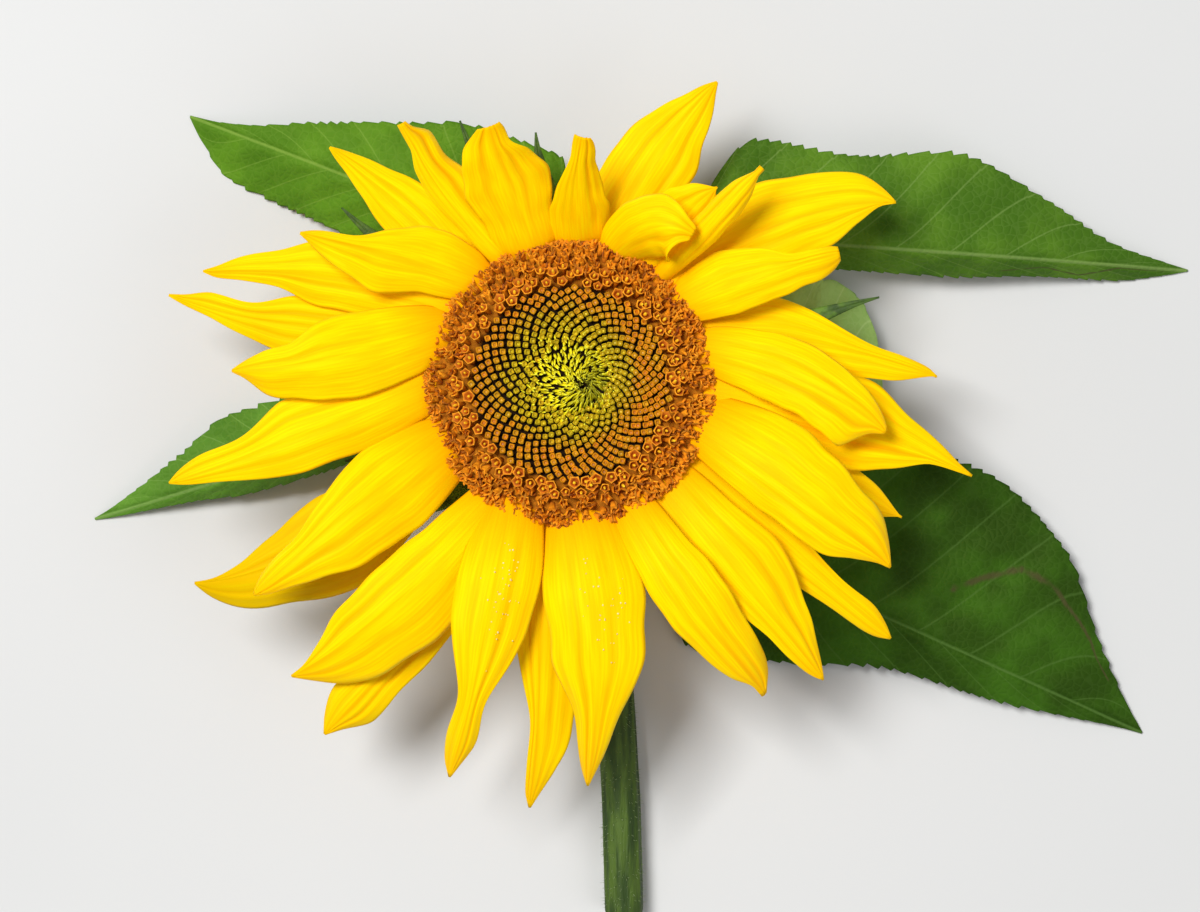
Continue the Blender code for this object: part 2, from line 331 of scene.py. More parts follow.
def thicken(piece: bpy.types.Object, thickness: float) -> None:
    """Give a sheet its thickness, half to each side.

    Args:
        piece: the sheet.
        thickness: in millimetres.
    """
    activate(piece)
    wall = piece.modifiers.new("thickness", "SOLIDIFY")
    wall.thickness = thickness * MM
    wall.offset = 0.0
    bpy.ops.object.modifier_apply(modifier=wall.name)
    bpy.ops.object.shade_smooth()


def tube(name: str, line: np.ndarray, radii: np.ndarray, sides: int,
         relief: np.ndarray | None = None) -> bpy.types.Object:
    """Round closed body along a line.

    Args:
        name: name of the piece.
        line: centre points, one per row.
        radii: radius at each point; the ends are closed to their centres.
        sides: faces round the tube.
        relief: added radius for each point and side, if any.

    Returns:
        The object.
    """
    line = np.vstack([line[:1], line, line[-1:]])
    radii = np.concatenate([[0.0], radii, [0.0]])
    ahead = unit(np.gradient(line[1:-1], axis=0))
    ahead = np.vstack([ahead[:1], ahead, ahead[-1:]])
    up = unit(np.cross(ACROSS, ahead) + 1e-9)
    side = np.cross(ahead, up)
    piece, u, v = new_grid(name, len(line) - 1, sides)
    i = np.rint(u * (len(line) - 1)).astype(int)
    turn = (v + 1) * math.pi
    radius = radii[i]
    if relief is not None:
        k = np.rint((v + 1) / 2 * sides).astype(int) % sides
        padded = np.vstack([relief[:1] * 0, relief, relief[-1:] * 0])
        radius = radius + padded[i, k]
    spokes = side[i] * np.cos(turn)[:, None] + up[i] * np.sin(turn)[:, None]
    set_points(piece, line[i] + spokes * radius[:, None])
    weld(piece)
    return piece


def claim(piece: bpy.types.Object, slot: Slot, nodes: list[str],
          *finishes: bpy.types.Material) -> None:
    """Dress a finished piece, fasten it to the frame and report it.

    Args:
        piece: the finished object.
        slot: slot that its finish belongs to; not used.
        nodes: CAD nodes that it stands for.
        finishes: its materials, in the order of its faces' numbers.
    """
    for finish in finishes:
        piece.data.materials.append(finish)
    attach(piece, BODY)
    if nodes:
        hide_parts(*nodes)
    log.info("%s: %d faces", piece.name, len(piece.data.polygons))


# ---------------------------------------------------------------- finishes

class Recipe:
    """A node material under construction."""

    def __init__(self, name: str, roughness: float, **constants: float | tuple) -> None:
        """Start a Principled material.

        Args:
            name: its name.
            roughness: plain roughness.
            constants: other plain values, by socket name with _ for a space.
        """
        self.material = bpy.data.materials.new(name)
        self.material.use_nodes = True
        self.tree = self.material.node_tree
        self.shader = self.tree.nodes["Principled BSDF"]
        self.shader.inputs["Roughness"].default_value = roughness
        for key, value in constants.items():
            self.shader.inputs[key.replace("_", " ")].default_value = value

    def add(self, kind: str, inputs: dict[str | int, Input] | None = None,
            **settings: object) -> bpy.types.Node:
        """Add a node.

        Args:
            kind: its type's name.
            inputs: values or sockets for its inputs, by name or number.
            settings: its own properties.

        Returns:
            The node.
        """
        node = self.tree.nodes.new(kind)
        for key, value in settings.items():
            setattr(node, key, value)
        for key, value in (inputs or {}).items():
            if isinstance(value, bpy.types.NodeSocket):
                self.tree.links.new(value, node.inputs[key])
            else:
                node.inputs[key].default_value = value
        return node

    def math(self, operation: str, a: Input, b: Input = 0.0) -> bpy.types.NodeSocket:
        """Arithmetic on two values; returns the result's socket."""
        return self.add("ShaderNodeMath", {0: a, 1: b}, operation=operation).outputs[0]

    def step(self, value: Input, low: float, high: float,
             start: float = 0.0, end: float = 1.0) -> bpy.types.NodeSocket:
        """Smooth step of a value.

        Args:
            value: what is read.
            low: where the step begins.
            high: where it ends.
            start: the result below low.
            end: the result above high.

        Returns:
            The result's socket.
        """
        return self.add("ShaderNodeMapRange",
                        {"Value": value, "From Min": low, "From Max": high,
                         "To Min": start, "To Max": end},
                        interpolation_type="SMOOTHSTEP").outputs["Result"]

    def mix(self, share: Input, a: Input, b: Input, blend: str = "MIX") -> bpy.types.NodeSocket:
        """Blend of two colours.

        Args:
            share: share of the second, 0 to 1.
            a: first colour.
            b: second colour.
            blend: how they are blended.

        Returns:
            The result's socket.
        """
        return self.add("ShaderNodeMix", {0: share, 6: a, 7: b}, data_type="RGBA",
                        blend_type=blend, clamp_factor=True).outputs[2]

    def value(self, name: str) -> bpy.types.NodeSocket:
        """A number stored on the mesh; returns its socket."""
        return self.add("ShaderNodeAttribute", attribute_name=name).outputs["Fac"]

    def place(self) -> bpy.types.NodeSocket:
        """Object coordinates; returns their socket."""
        return self.add("ShaderNodeTexCoord").outputs["Object"]

    def stretch(self, where: Input, *scale: float) -> bpy.types.NodeSocket:
        """Coordinates multiplied by a scale along each axis; returns their socket."""
        return self.add("ShaderNodeMapping", {"Vector": where, "Scale": scale}).outputs[0]

    def uv(self, along: float, across: float) -> bpy.types.NodeSocket:
        """The piece's UV map, stretched; returns its socket."""
        return self.stretch(self.add("ShaderNodeUVMap").outputs[0], along, across, 1.0)

    def noise(self, where: Input, scale: float) -> bpy.types.NodeSocket:
        """Soft noise from 0 to 1; returns its socket."""
        return self.add("ShaderNodeTexNoise", {
            "Vector": where, "Scale": scale, "Detail": 3.0}).outputs["Fac"]

    def group(self, tree: bpy.types.NodeTree, inputs: dict[str, Input]) -> bpy.types.Node:
        """Place a shared effect.

        Args:
            tree: the effect's node group.
            inputs: values or sockets for its inputs, by name.

        Returns:
            The node.
        """
        return self.add("ShaderNodeGroup", inputs, node_tree=tree)

    def color(self, socket: bpy.types.NodeSocket) -> None:
        """Use a socket as the base colour."""
        self.tree.links.new(socket, self.shader.inputs["Base Color"])

    def glow(self, socket: bpy.types.NodeSocket, strength: float) -> None:
        """Painted light: a faint glow of the piece's own colour, standing in for light let through
        it.
        """
        self.tree.links.new(socket, self.shader.inputs["Emission Color"])
        self.shader.inputs["Emission Strength"].default_value = strength

    def bump(self, height: Input, distance: float, strength: float = 1.0) -> None:
        """Use a height, in millimetres, as relief."""
        node = self.add("ShaderNodeBump", {"Height": height, "Distance": distance * MM,
                                           "Strength": strength})
        self.tree.links.new(node.outputs[0], self.shader.inputs["Normal"])


def build_grain() -> bpy.types.NodeTree:
    """Shared effect: cloudy tone and fine tissue relief of plant surfaces.

    Returns:
        A group with a Vector, a Cloud and a Fine scale, giving Tone and Height.
    """
    tree = bpy.data.node_groups.new("plant_grain", "ShaderNodeTree")
    tree.interface.new_socket("Vector", in_out="INPUT", socket_type="NodeSocketVector")
    for name, way in (("Cloud", "INPUT"), ("Fine", "INPUT"), ("Tone", "OUTPUT"),
                      ("Height", "OUTPUT")):
        tree.interface.new_socket(name, in_out=way, socket_type="NodeSocketFloat")
    source = tree.nodes.new("NodeGroupInput")
    sink = tree.nodes.new("NodeGroupOutput")
    for scale, output, detail in (("Cloud", "Tone", 4.0), ("Fine", "Height", 2.0)):
        noise = tree.nodes.new("ShaderNodeTexNoise")
        noise.inputs["Detail"].default_value = detail
        tree.links.new(source.outputs["Vector"], noise.inputs["Vector"])
        tree.links.new(source.outputs[scale], noise.inputs["Scale"])
        tree.links.new(noise.outputs["Fac"], sink.inputs[output])
    return tree


GRAIN = build_grain()


def rgba(red: float, green: float, blue: float) -> Color:
    """Colour with full alpha."""
    return (red, green, blue, 1.0)


@dataclass(frozen=True)
class PetalFinish:
    """Thin silky yellow tissue: gold painted shade in its creases, a golden root that is partly
    painted shade, and olive painted shade on petals that lie back.
    """

    light: Color = rgba(1.0, 0.7, 0.0)
    body: Color = rgba(1.0, 0.56, 0.0)
    # painted shade of the creases and the root, and the root's and tip's own gold
    gold_and_shade: Color = rgba(0.86, 0.33, 0.0)
    # painted shade of petals that lie back
    shadow_olive: Color = rgba(0.5, 0.34, 0.0)

    def make(self) -> bpy.types.Material:
        """Build the material; reads the creases' painted shade and the petal's painted shade from
        the mesh.

        Returns:
            The material.
        """
        mix = Recipe("petal_yellow", 0.55, Specular_IOR_Level=0.2,
                     Specular_Tint=rgba(1.0, 0.75, 0.1))
        grain = mix.group(GRAIN, {"Vector": mix.uv(2.0, 14.0), "Cloud": 2.0, "Fine": 12.0})
        streak = mix.step(grain.outputs["Tone"], 0.3, 0.7)
        color = mix.mix(streak, self.body, self.light)
        along = mix.add("ShaderNodeSeparateXYZ", {0: mix.uv(1.0, 1.0)}).outputs[0]
        # golden root, partly its own colour and partly painted shade where it runs in under the
        # florets; golden tip
        root = mix.step(along, 0.02, 0.3, 0.7, 0.0)
        tip = mix.step(along, 0.82, 1.0, 0.0, 0.3)
        color = mix.mix(mix.math("MAXIMUM", root, tip), color, self.gold_and_shade)
        # painted shade: gold in the bottoms of the creases
        crease_shade = mix.math("MULTIPLY", mix.value("crease_shade"), 0.8)
        color = mix.mix(crease_shade, color, self.gold_and_shade)
        # painted shade: olive on petals that lie back
        color = mix.mix(mix.value("shade"), color, self.shadow_olive)
        mix.color(color)
        # painted light: a faint glow that lifts the petal's shade
        mix.glow(color, 0.05)
        mix.bump(grain.outputs["Height"], 0.1, 0.5)
        return mix.material


@dataclass(frozen=True)
class LeafFinish:
    """Rough green blade with pale veins and a fine net between them."""

    name: str
    green: Color
    dark: Color
    vein: Color
    trail: Color = rgba(0.06, 0.052, 0.02)

    def make(self) -> bpy.types.Material:
        """Build the material; reads rib, phase and trail from the mesh.

        Returns:
            The material.
        """
        mix = Recipe(self.name, 0.6, Specular_IOR_Level=0.2,
                     Specular_Tint=rgba(0.8, 1.0, 0.3))
        where = mix.place()
        grain = mix.group(GRAIN, {"Vector": where, "Cloud": 45.0, "Fine": 900.0})
        color = mix.mix(mix.step(grain.outputs["Tone"], 0.35, 0.68), self.dark, self.green)
        net = mix.add("ShaderNodeTexVoronoi", {"Vector": where, "Scale": 420.0},
                      feature="DISTANCE_TO_EDGE")
        mesh = mix.step(net.outputs["Distance"], 0.0, 0.12, 0.1, 0.0)
        color = mix.mix(mesh, color, self.vein)
        side = mix.math("PINGPONG", mix.value("phase"), 0.5)
        thin = mix.step(side, 0.0, 0.035, 0.4, 0.0)
        rib = mix.step(mix.value("rib"), 0.1, 0.8, 0.7, 0.0)
        veins = mix.math("MAXIMUM", thin, rib)
        color = mix.mix(veins, color, self.vein)
        color = mix.mix(mix.value("trail"), color, self.trail)
        mix.color(color)
        # painted light: a faint glow that lifts the leaf's shade
        mix.glow(color, 0.03)
        fine = mix.math("MULTIPLY", grain.outputs["Height"], 0.4)
        pits = mix.step(net.outputs["Distance"], 0.0, 0.3, 0.0, 0.35)
        mix.bump(mix.math("ADD", fine, pits), 0.25)
        return mix.material


@dataclass(frozen=True)
class SkinFinish:
    """Plain hairy plant skin: bracts, stem and receptacle."""

    name: str
    light: Color
    dark: Color
    cloud: float
    relief: float
    stretch: float = 1.0      # length of the clouds along Y, of their width
    pith: Color = rgba(0.55, 0.6, 0.35)

    def make(self) -> bpy.types.Material:
        """Build the material; reads age, which darkens it, and cut from the mesh.

        Returns:
            The material.
        """
        mix = Recipe(self.name, 0.6, Specular_IOR_Level=0.3)
        where = mix.stretch(mix.place(), 1.0, 1.0 / self.stretch, 1.0)
        grain = mix.group(GRAIN, {"Vector": where, "Cloud": self.cloud, "Fine": 1500.0})
        color = mix.mix(mix.step(grain.outputs["Tone"], 0.36, 0.64), self.dark, self.light)
        color = mix.mix(mix.value("age"), color, self.dark)
        color = mix.mix(mix.step(mix.value("cut"), 0.15, 0.4), color, self.pith)
        mix.color(color)
        mix.bump(grain.outputs["Height"], self.relief)
        return mix.material


@dataclass(frozen=True)
class FloretFinish:
    """Floret tissue, from a foot darkened with painted shade to a bright tip, each floret a little
    different.
    """

    name: str
    foot: Color
    body: Color
    tip: Color
    other: Color
    roughness: float = 0.65
    gloss: float = 0.12

    def make(self) -> bpy.types.Material:
        """Build the material; reads rise and tint from the mesh.

        Returns:
            The material.
        """
        mix = Recipe(self.name, self.roughness, Specular_IOR_Level=self.gloss)
        grain = mix.group(GRAIN, {"Vector": mix.place(), "Cloud": 900.0, "Fine": 2500.0})
        rise = mix.value("rise")
        body = mix.mix(mix.value("tint"), self.body, self.other)
        # painted shade: darker towards the foot, deep among the florets
        color = mix.mix(mix.step(rise, 0.0, 0.55), self.foot, body)
        tip = mix.mix(mix.math("MULTIPLY", mix.value("tint"), 0.8), self.tip, self.other)
        color = mix.mix(mix.step(rise, 0.7, 1.0), color, tip)
        tone = mix.step(grain.outputs["Tone"], 0.3, 0.7, 0.7, 1.15)
        shade = mix.add("ShaderNodeCombineColor", {0: tone, 1: tone, 2: tone}).outputs[0]
        color = mix.mix(1.0, color, shade, "MULTIPLY")
        mix.color(color)
        mix.bump(grain.outputs["Height"], 0.1)
        return mix.material


# ---------------------------------------------------------------- ray petals

@dataclass
class Petal:
    """One ray petal, with the sizes of its CAD solid and its own small habits."""

    clock: float              # direction of the root round the head, in degrees
    reach: float              # distance of the tip from the head's centre, in plan
    heading: float            # direction of the tip
    tip: float                # height of the tip
    width: float
    tier: float               # height of the root on the rim
    lift: float = 0.0
    bow: float = 0.0
    fold: float = 0.5
    widest: float = 0.45
    full: float = 2.2
    left: tuple[float, ...] = ()    # half widths at PETAL_PLACES, seen from root to tip
    right: tuple[float, ...] = ()
    blunt: float = 0.15       # half width of the very tip
    root: float = 0.78        # root's share of the first half width
    pinch: float = 0.7        # how much the fold closes at the tip
    curl: float = 0.0         # rise of the last stretch
    twist: float = 0.0        # turn of the tip about the petal's length, in degrees
    shade: float = 0.0        # share of olive: painted shade of a petal that lies back
    pollen: int = 0           # grains that have fallen on it


PETAL_PLACES = (0.25, 0.5, 0.7, 0.85, 0.95)

PETALS = [
    Petal(75, 101, 64, 46, 24, BACK, lift=-1, bow=3, shade=0.04, twist=6,
          left=(13, 12, 9, 3.6, 1.3), right=(11, 12.6, 9.6, 4.7, 1.4)),
    Petal(87, 72, 87, 68, 14.5, MIDDLE, lift=2, bow=1.5, fold=0.7, full=5.0, pinch=0.3, blunt=1.9,
          root=1.0,
          left=(7.4, 5.2, 2.8, 2, 2), right=(10.5, 8.4, 6, 4.4, 3)),
    Petal(107, 79, 107.5, 65, 26, FRONT, lift=1, fold=0.7, full=5.0, pinch=0.2, blunt=3.0,
          root=0.9,
          left=(10.5, 13, 11.4, 8.6, 5), right=(11, 13.6, 9.6, 4.2, 3.7)),
    Petal(119, 92, 123, 57, 14, MIDDLE, lift=0, bow=2, fold=0.9, full=3.0, blunt=0.9, root=1.0,
          left=(2.5, 4, 3.4, 1, 0.9), right=(9, 9.5, 7, 6.2, 2)),
    Petal(132, 102, 135.5, 42, 18, BACK, lift=-1, bow=-1,
          left=(8, 8.6, 5.4, 2.1, 0.9), right=(9, 10, 6.6, 3, 1.1)),
    Petal(134, 92, 151, 56, 21, FRONT, lift=3, bow=-1, fold=0.6,
          left=(8.5, 11.5, 8.6, 3.9, 1.2), right=(12, 7.4, 2.8, 1.7, 0.8)),
    Petal(146, 116, 163, 43, 18, MIDDLE, lift=1, bow=-3.6,
          left=(9.5, 10, 4.8, 2.4, 1.3), right=(9, 10.5, 6.2, 3.2, 0.8)),
    Petal(155, 125, 167.5, 37, 16, BACK, lift=0, bow=5,
          left=(7, 9, 5.8, 1.9, 0.7), right=(8, 9, 4.8, 3.7, 1)),
    Petal(160, 101, 178, 55, 24.5, FRONT, lift=6, bow=2.5, fold=0.6,
          left=(11, 12.2, 10, 6.2, 1.5), right=(12.5, 12.8, 6.8, 3.8, 1.6)),
    Petal(181, 124, 194, 50, 20.5, MIDDLE, lift=4, bow=1, widest=0.4,
          left=(10.3, 10.4, 6.8, 2.9, 1.2), right=(9, 12.6, 6, 4.2, 2)),
    Petal(204, 128, 208, 44, 25, BACK, lift=1, bow=11, widest=0.55, shade=0.5, curl=3,
          left=(11, 15, 12, 7.2, 3), right=(11, 14.5, 10.5, 3, 0.5)),
    Petal(205.5, 113, 214, 61, 25, FRONT, lift=8, bow=-1, fold=0.6,
          left=(16, 15.6, 10.2, 4.6, 1.8), right=(11.5, 9, 4.6, 3.3, 1.8)),
    Petal(239, 121, 226.5, 53, 28, MIDDLE, lift=8, bow=4, fold=0.6, widest=0.5, full=2.8,
          left=(11, 16, 14.4, 8.6, 3), right=(11.5, 12, 9.6, 3.4, 0.6)),
    Petal(242, 129, 235, 46, 18, BACK, lift=2, bow=2.5, shade=0.15,
          left=(8, 8.5, 8, 6.4, 1.8), right=(8, 8.5, 7.5, 6, 2.6)),
    Petal(247, 123.5, 253, 51, 24, FRONT, lift=13, bow=1.5, fold=0.6, widest=0.36, full=1.5,
          pollen=46,
          left=(12, 9.5, 4.4, 3.4, 1.2), right=(13, 9.5, 4.3, 3.4, 2)),
    Petal(260, 129, 264.5, 40, 18.5, BACK, lift=9, bow=1.5, widest=0.5, shade=0.1,
          left=(8, 11, 10.4, 4.8, 1.5), right=(9, 6.5, 2.4, 1.7, 1.2)),
    Petal(273, 121, 272.5, 49, 31.5, FRONT, lift=14, bow=3.5, fold=0.6, widest=0.42, full=1.9,
          pollen=38,
          left=(16.5, 14.5, 8, 3.4, 1.1), right=(13.5, 13, 7, 3.6, 1.6)),
    Petal(296, 110, 302, 53, 21, FRONT, lift=11, bow=-1.5, fold=0.6, blunt=0.6,
          left=(9.5, 11.2, 9.4, 6.6, 4), right=(8.5, 9.6, 7, 3.5, 0.6)),
    Petal(313, 117, 310.5, 51, 24, MIDDLE, lift=7,
          left=(12.6, 15.6, 11, 5, 1.8), right=(9.5, 8, 5, 2.8, 1.4)),
    Petal(327, 123.5, 321.5, 45, 14.5, BACK, lift=2, bow=-0.7, shade=0.1,
          left=(6.5, 5.7, 4.3, 3.4, 1.6), right=(7, 7, 5.2, 3, 1.6)),
    Petal(340, 110, 330, 60, 26, FRONT, lift=8, bow=1, fold=0.6, full=3.0,
          left=(16.4, 16, 12.4, 8.8, 3.8), right=(9.6, 10.6, 9.6, 3.8, 0.8)),
    Petal(342, 108, 338, 43, 19, BACK, lift=-1, bow=1, shade=0.1),
    Petal(356, 124, 347, 48, 25, MIDDLE, lift=2, bow=3,
          left=(12, 14.8, 9, 3.8, 0.9), right=(12, 13.4, 8.4, 1.4, 0.4)),
    Petal(13.5, 95, 351, 60, 22.5, FRONT, lift=5, bow=4, fold=0.6, full=3.0, blunt=0.5,
          left=(9.2, 10.4, 8, 4.6, 2.2), right=(9.8, 10.4, 11, 8.8, 2)),
    Petal(21, 110.5, 1, 46, 18.5, BACK, lift=1, bow=3.5, shade=0.05,
          left=(12, 7.8, 3.2, 1.9, 1.2)),
    Petal(34, 89, 25.5, 58, 19, FRONT, lift=3, bow=1, fold=0.6, blunt=1.3,
          left=(11, 8.8, 3.6, 2.4, 1.8), right=(8, 8.2, 6.8, 5, 3)),
    Petal(45, 112, 29, 48, 25.5, MIDDLE, lift=1, bow=7,
          left=(11, 13, 11.4, 7, 2.8), right=(11, 13.5, 11.6, 4, 0.5)),
    Petal(50, 85, 48, 67, 9, FRONT + 0.6, lift=5, fold=1.3, full=3.0, blunt=0.8),
    Petal(61, 73, 53, 56, 19, MIDDLE + 0.8, lift=1, bow=1),
    Petal(72, 57, 50, 64, 19, FRONT, lift=7, bow=4.6, fold=0.8, full=3.5, pinch=-0.4,
          left=(8.5, 8.8, 7.2, 5.6, 4.4), right=(10, 11.5, 10.4, 7.6, 5), blunt=3.2),
]


@dataclass
class RayPetals:
    """The ring of yellow petals."""

    thickness: float = 0.4
    root_width: float = 0.6       # of the greatest width
    root_overlap: float = 5.5     # how far a root reaches in under the florets
    root_taper: float = 0.65      # width there, of the root's width
    along: int = 60
    across: int = 26
    crease_width: float = 0.07    # of the half width
    crease_depth: float = 1.5
    creases: tuple[Pair, ...] = ((-0.74, 0.3), (-0.4, 1.0), (0.02, 0.7), (0.4, 1.0), (0.74, 0.3))
    pleat: float = 0.25           # height of the folds between the creases
    frill: float = 0.5            # of the edges
    curl_from: float = 0.72       # where a curl begins
    grain: float = 0.3            # radius of a pollen grain
    spots: list[np.ndarray] = field(default_factory=list)    # where pollen has fallen
    seed: int = 11

    def spine(self, petal: Petal, u: np.ndarray) -> np.ndarray:
        """Middle line of a petal.

        Args:
            petal: the petal.
            u: places from root (0) to tip (1).

        Returns:
            Points, one per row.
        """
        root = on_head(PETAL_RING, math.radians(petal.clock), petal.tier)
        turn = math.radians(petal.heading)
        tip = np.array([petal.reach * math.cos(turn), petal.reach * math.sin(turn), petal.tip])
        along = tip - root
        arc = (4 * u * (1 - u))[:, None]
        curled = np.clip(u - self.curl_from, 0, 1) / (1 - self.curl_from)
        curl = curled[:, None] ** 2 * petal.curl
        rise = UP * (petal.lift * arc + curl)
        return root + along * u[:, None] + sideways(along) * petal.bow * arc + rise

    def edge(self, petal: Petal, shares: tuple[float, ...], u: np.ndarray) -> np.ndarray:
        """Distance from a petal's middle line to one edge.

        Args:
            petal: the petal.
            shares: half widths at PETAL_PLACES, or nothing for the plain outline.
            u: places along the petal.

        Returns:
            The distance at each place.
        """
        half = petal.width / 2
        if shares:
            root = petal.root * shares[0]
            widths = (self.root_taper * root, root, *shares, petal.blunt)
            return smooth_curve((-0.1, 0.0, *PETAL_PLACES, 1.0), widths, u)
        growth = self.root_width + (1 - self.root_width) * np.sin(
            math.pi / 2 * np.clip(u / petal.widest, 0, 1))
        beyond = np.clip((u - petal.widest) / (1 - petal.widest), 0, 1)
        taper = (1 - beyond**petal.full) ** 1.4
        return np.maximum(half * np.where(u < petal.widest, growth, taper), petal.blunt)

    def half_width(self, petal: Petal, u: np.ndarray, v: np.ndarray) -> np.ndarray:
        """Half width of a petal at u, on the side that v is on."""
        return np.where(v > 0, self.edge(petal, petal.left, u), self.edge(petal, petal.right, u))

    def relief(self, u: np.ndarray, v: np.ndarray,
               rng: np.random.Generator) -> tuple[np.ndarray, np.ndarray]:
        """Creases that run from root to tip, with low pleats between them.

        Args:
            u: places along the petal.
            v: places across it.
            rng: the petal's own random source.

        Returns:
            The height in millimetres, and a mask of the creases' bottoms, where painted shade
            goes.
        """
        height, mask = np.zeros_like(u), np.zeros_like(u)
        fade = 0.45 * ramp(u, 0.0, 0.2) + 0.55 * ramp(u, 0.15, 0.7)
        for middle, strength in self.creases:
            middle += rng.uniform(-0.1, 0.1)
            drift = rng.uniform(-0.12, 0.12)
            depth = strength * rng.uniform(0.35, 1.0)
            spread = self.crease_width * rng.uniform(0.8, 1.5)
            gap = (v - middle - drift * (u - 0.6)) / spread
            groove = np.exp(-gap**2)
            flank = np.where(gap > 0, np.exp(-gap / 3.2), np.exp(gap / 1.6))
            height -= self.crease_depth * depth * (0.6 * groove + 0.5 * flank) * fade
            mask = np.maximum(mask, groove * depth * fade)
        height += self.pleat * fade * ripple(v + 0.15 * u, rng, ((0.9, 0.6), (2.3, 0.3)))
        fine = ripple(v, rng, ((6.0, 1.0), (9.0, 0.7)))
        return height + 0.04 * fine * fade, mask

    def build(self, name: str, petal: Petal, rng: np.random.Generator) -> bpy.types.Object:
        """Model one petal.

        Args:
            name: name of the piece.
            petal: its sizes.
            rng: its random source.

        Returns:
            The piece.
        """
        piece, u, v = new_grid(name, self.along, self.across)
        start = -self.root_overlap / (petal.reach - PETAL_RING)
        u = start + (1 - start) * u
        center = self.spine(petal, u)
        ahead = unit(self.spine(petal, u + 0.01) - self.spine(petal, u - 0.01))
        side = sideways(ahead)
        up = np.cross(ahead, side)
        spin = (math.radians(petal.twist) * ramp(u, 0.4, 1.0)
                + 0.12 * ripple(u, rng, ((0.6, 1.0),)) * ramp(u, 0.1, 0.5))[:, None]
        side, up = side * np.cos(spin) + up * np.sin(spin), up * np.cos(spin) - side * np.sin(spin)
        fold = petal.fold * (1 + petal.pinch * ramp(u, 0.7, 1.0))
        half = self.half_width(petal, u, v)
        half = half * (1 + 0.03 * ripple(u, rng, ((2.3, 1.0), (5.1, 0.4))) * ramp(u, 0.1, 0.3))
        radius = half / math.sin(petal.fold)
        height, crease_shade = self.relief(u, v, rng)
        height = height * np.clip(half / 9.0, 0.12, 1.2) ** 0.8
        frill = self.frill * ripple(u, rng, ((1.7, 1.0), (3.9, 0.5))) * v * v * ramp(u, 0.15, 0.5)
        across = radius * np.sin(fold * v)
        drop = radius * (np.cos(fold * v) - 1) + height + frill * np.clip(half / 8.0, 0.0, 1.0)
        points = center + side * across[:, None] + up * drop[:, None]
        chance = np.exp(-((u - 0.3) / 0.16) ** 2 - ((v - 0.15) / 0.3) ** 2)
        picked = rng.choice(len(u), petal.pollen, p=chance / chance.sum())
        self.spots.extend(points[picked] + up[picked] * (self.thickness / 2 + 0.1)
                          + rng.normal(0, 0.25, (petal.pollen, 3)) * (1, 1, 0))
        set_points(piece, points)
        # mask of the painted shade in the creases
        set_attribute(piece, "crease_shade", crease_shade)
        # painted shade: how much olive a petal that lies back gets
        set_attribute(piece, "shade", np.full(len(u), petal.shade))
        thicken(piece, self.thickness)
        return piece

    def make(self) -> None:
        """Build, dress and fasten every petal."""
        finish = PetalFinish().make()
        for number, petal in enumerate(PETALS, start=1):
            rng = np.random.default_rng(self.seed + number)
            piece = self.build(f"petal_{number:02d}", petal, rng)
            claim(piece, Slot.PETAL, [f"ray_petal_{number:02d}"], finish)
        self.add_pollen()

    def add_pollen(self) -> None:
        """Scatter the fallen pollen grains, joined as one piece."""
        rng = np.random.default_rng(self.seed)
        deselect_all()
        bpy.ops.mesh.primitive_ico_sphere_add(subdivisions=1, radius=1.0)
        grains = Stamps(capture(bpy.context.object))
        for spot in self.spots:
            size = self.grain * rng.uniform(0.5, 1.2)
            grains.add(spot, np.diag(size * rng.uniform(0.7, 1.3, 3)), rng.random())
        finish = FloretFinish("fallen_pollen", rgba(0.95, 0.6, 0.08), rgba(1.0, 0.72, 0.15),
                              rgba(1.0, 0.8, 0.3), rgba(1.0, 0.85, 0.4))
        claim(grains.join("pollen_grains"), Slot.PETAL, [], finish.make())


# ---------------------------------------------------------------- bracts

class Whorl(Enum):
    """Radius and height of a whorl's roots on the cup."""

    INNER = (41.6, -7.6)
    OUTER = (38.6, -12.2)


@dataclass(frozen=True)
class Bract:
    """One bract: its direction, its tip's reach and height, and its whorl."""

    clock: float
    reach: float
    tip: float
    whorl: Whorl


BRACTS = [Bract(*row, whorl) for row, whorl in zip((
    (15, 97, 42), (36, 70, 35), (56, 68, 38), (76, 66, 33), (97, 77, 38), (112, 87, 34),
    (126, 68, 35), (142, 88, 34), (158, 66, 37), (176, 66, 35), (199, 72, 42), (221, 66, 38),
    (240, 70, 44), (258, 66, 40), (279, 70, 45), (299, 66, 39), (318, 70, 43), (337, 68, 36),
    (357, 72, 40)), cycle(Whorl))]


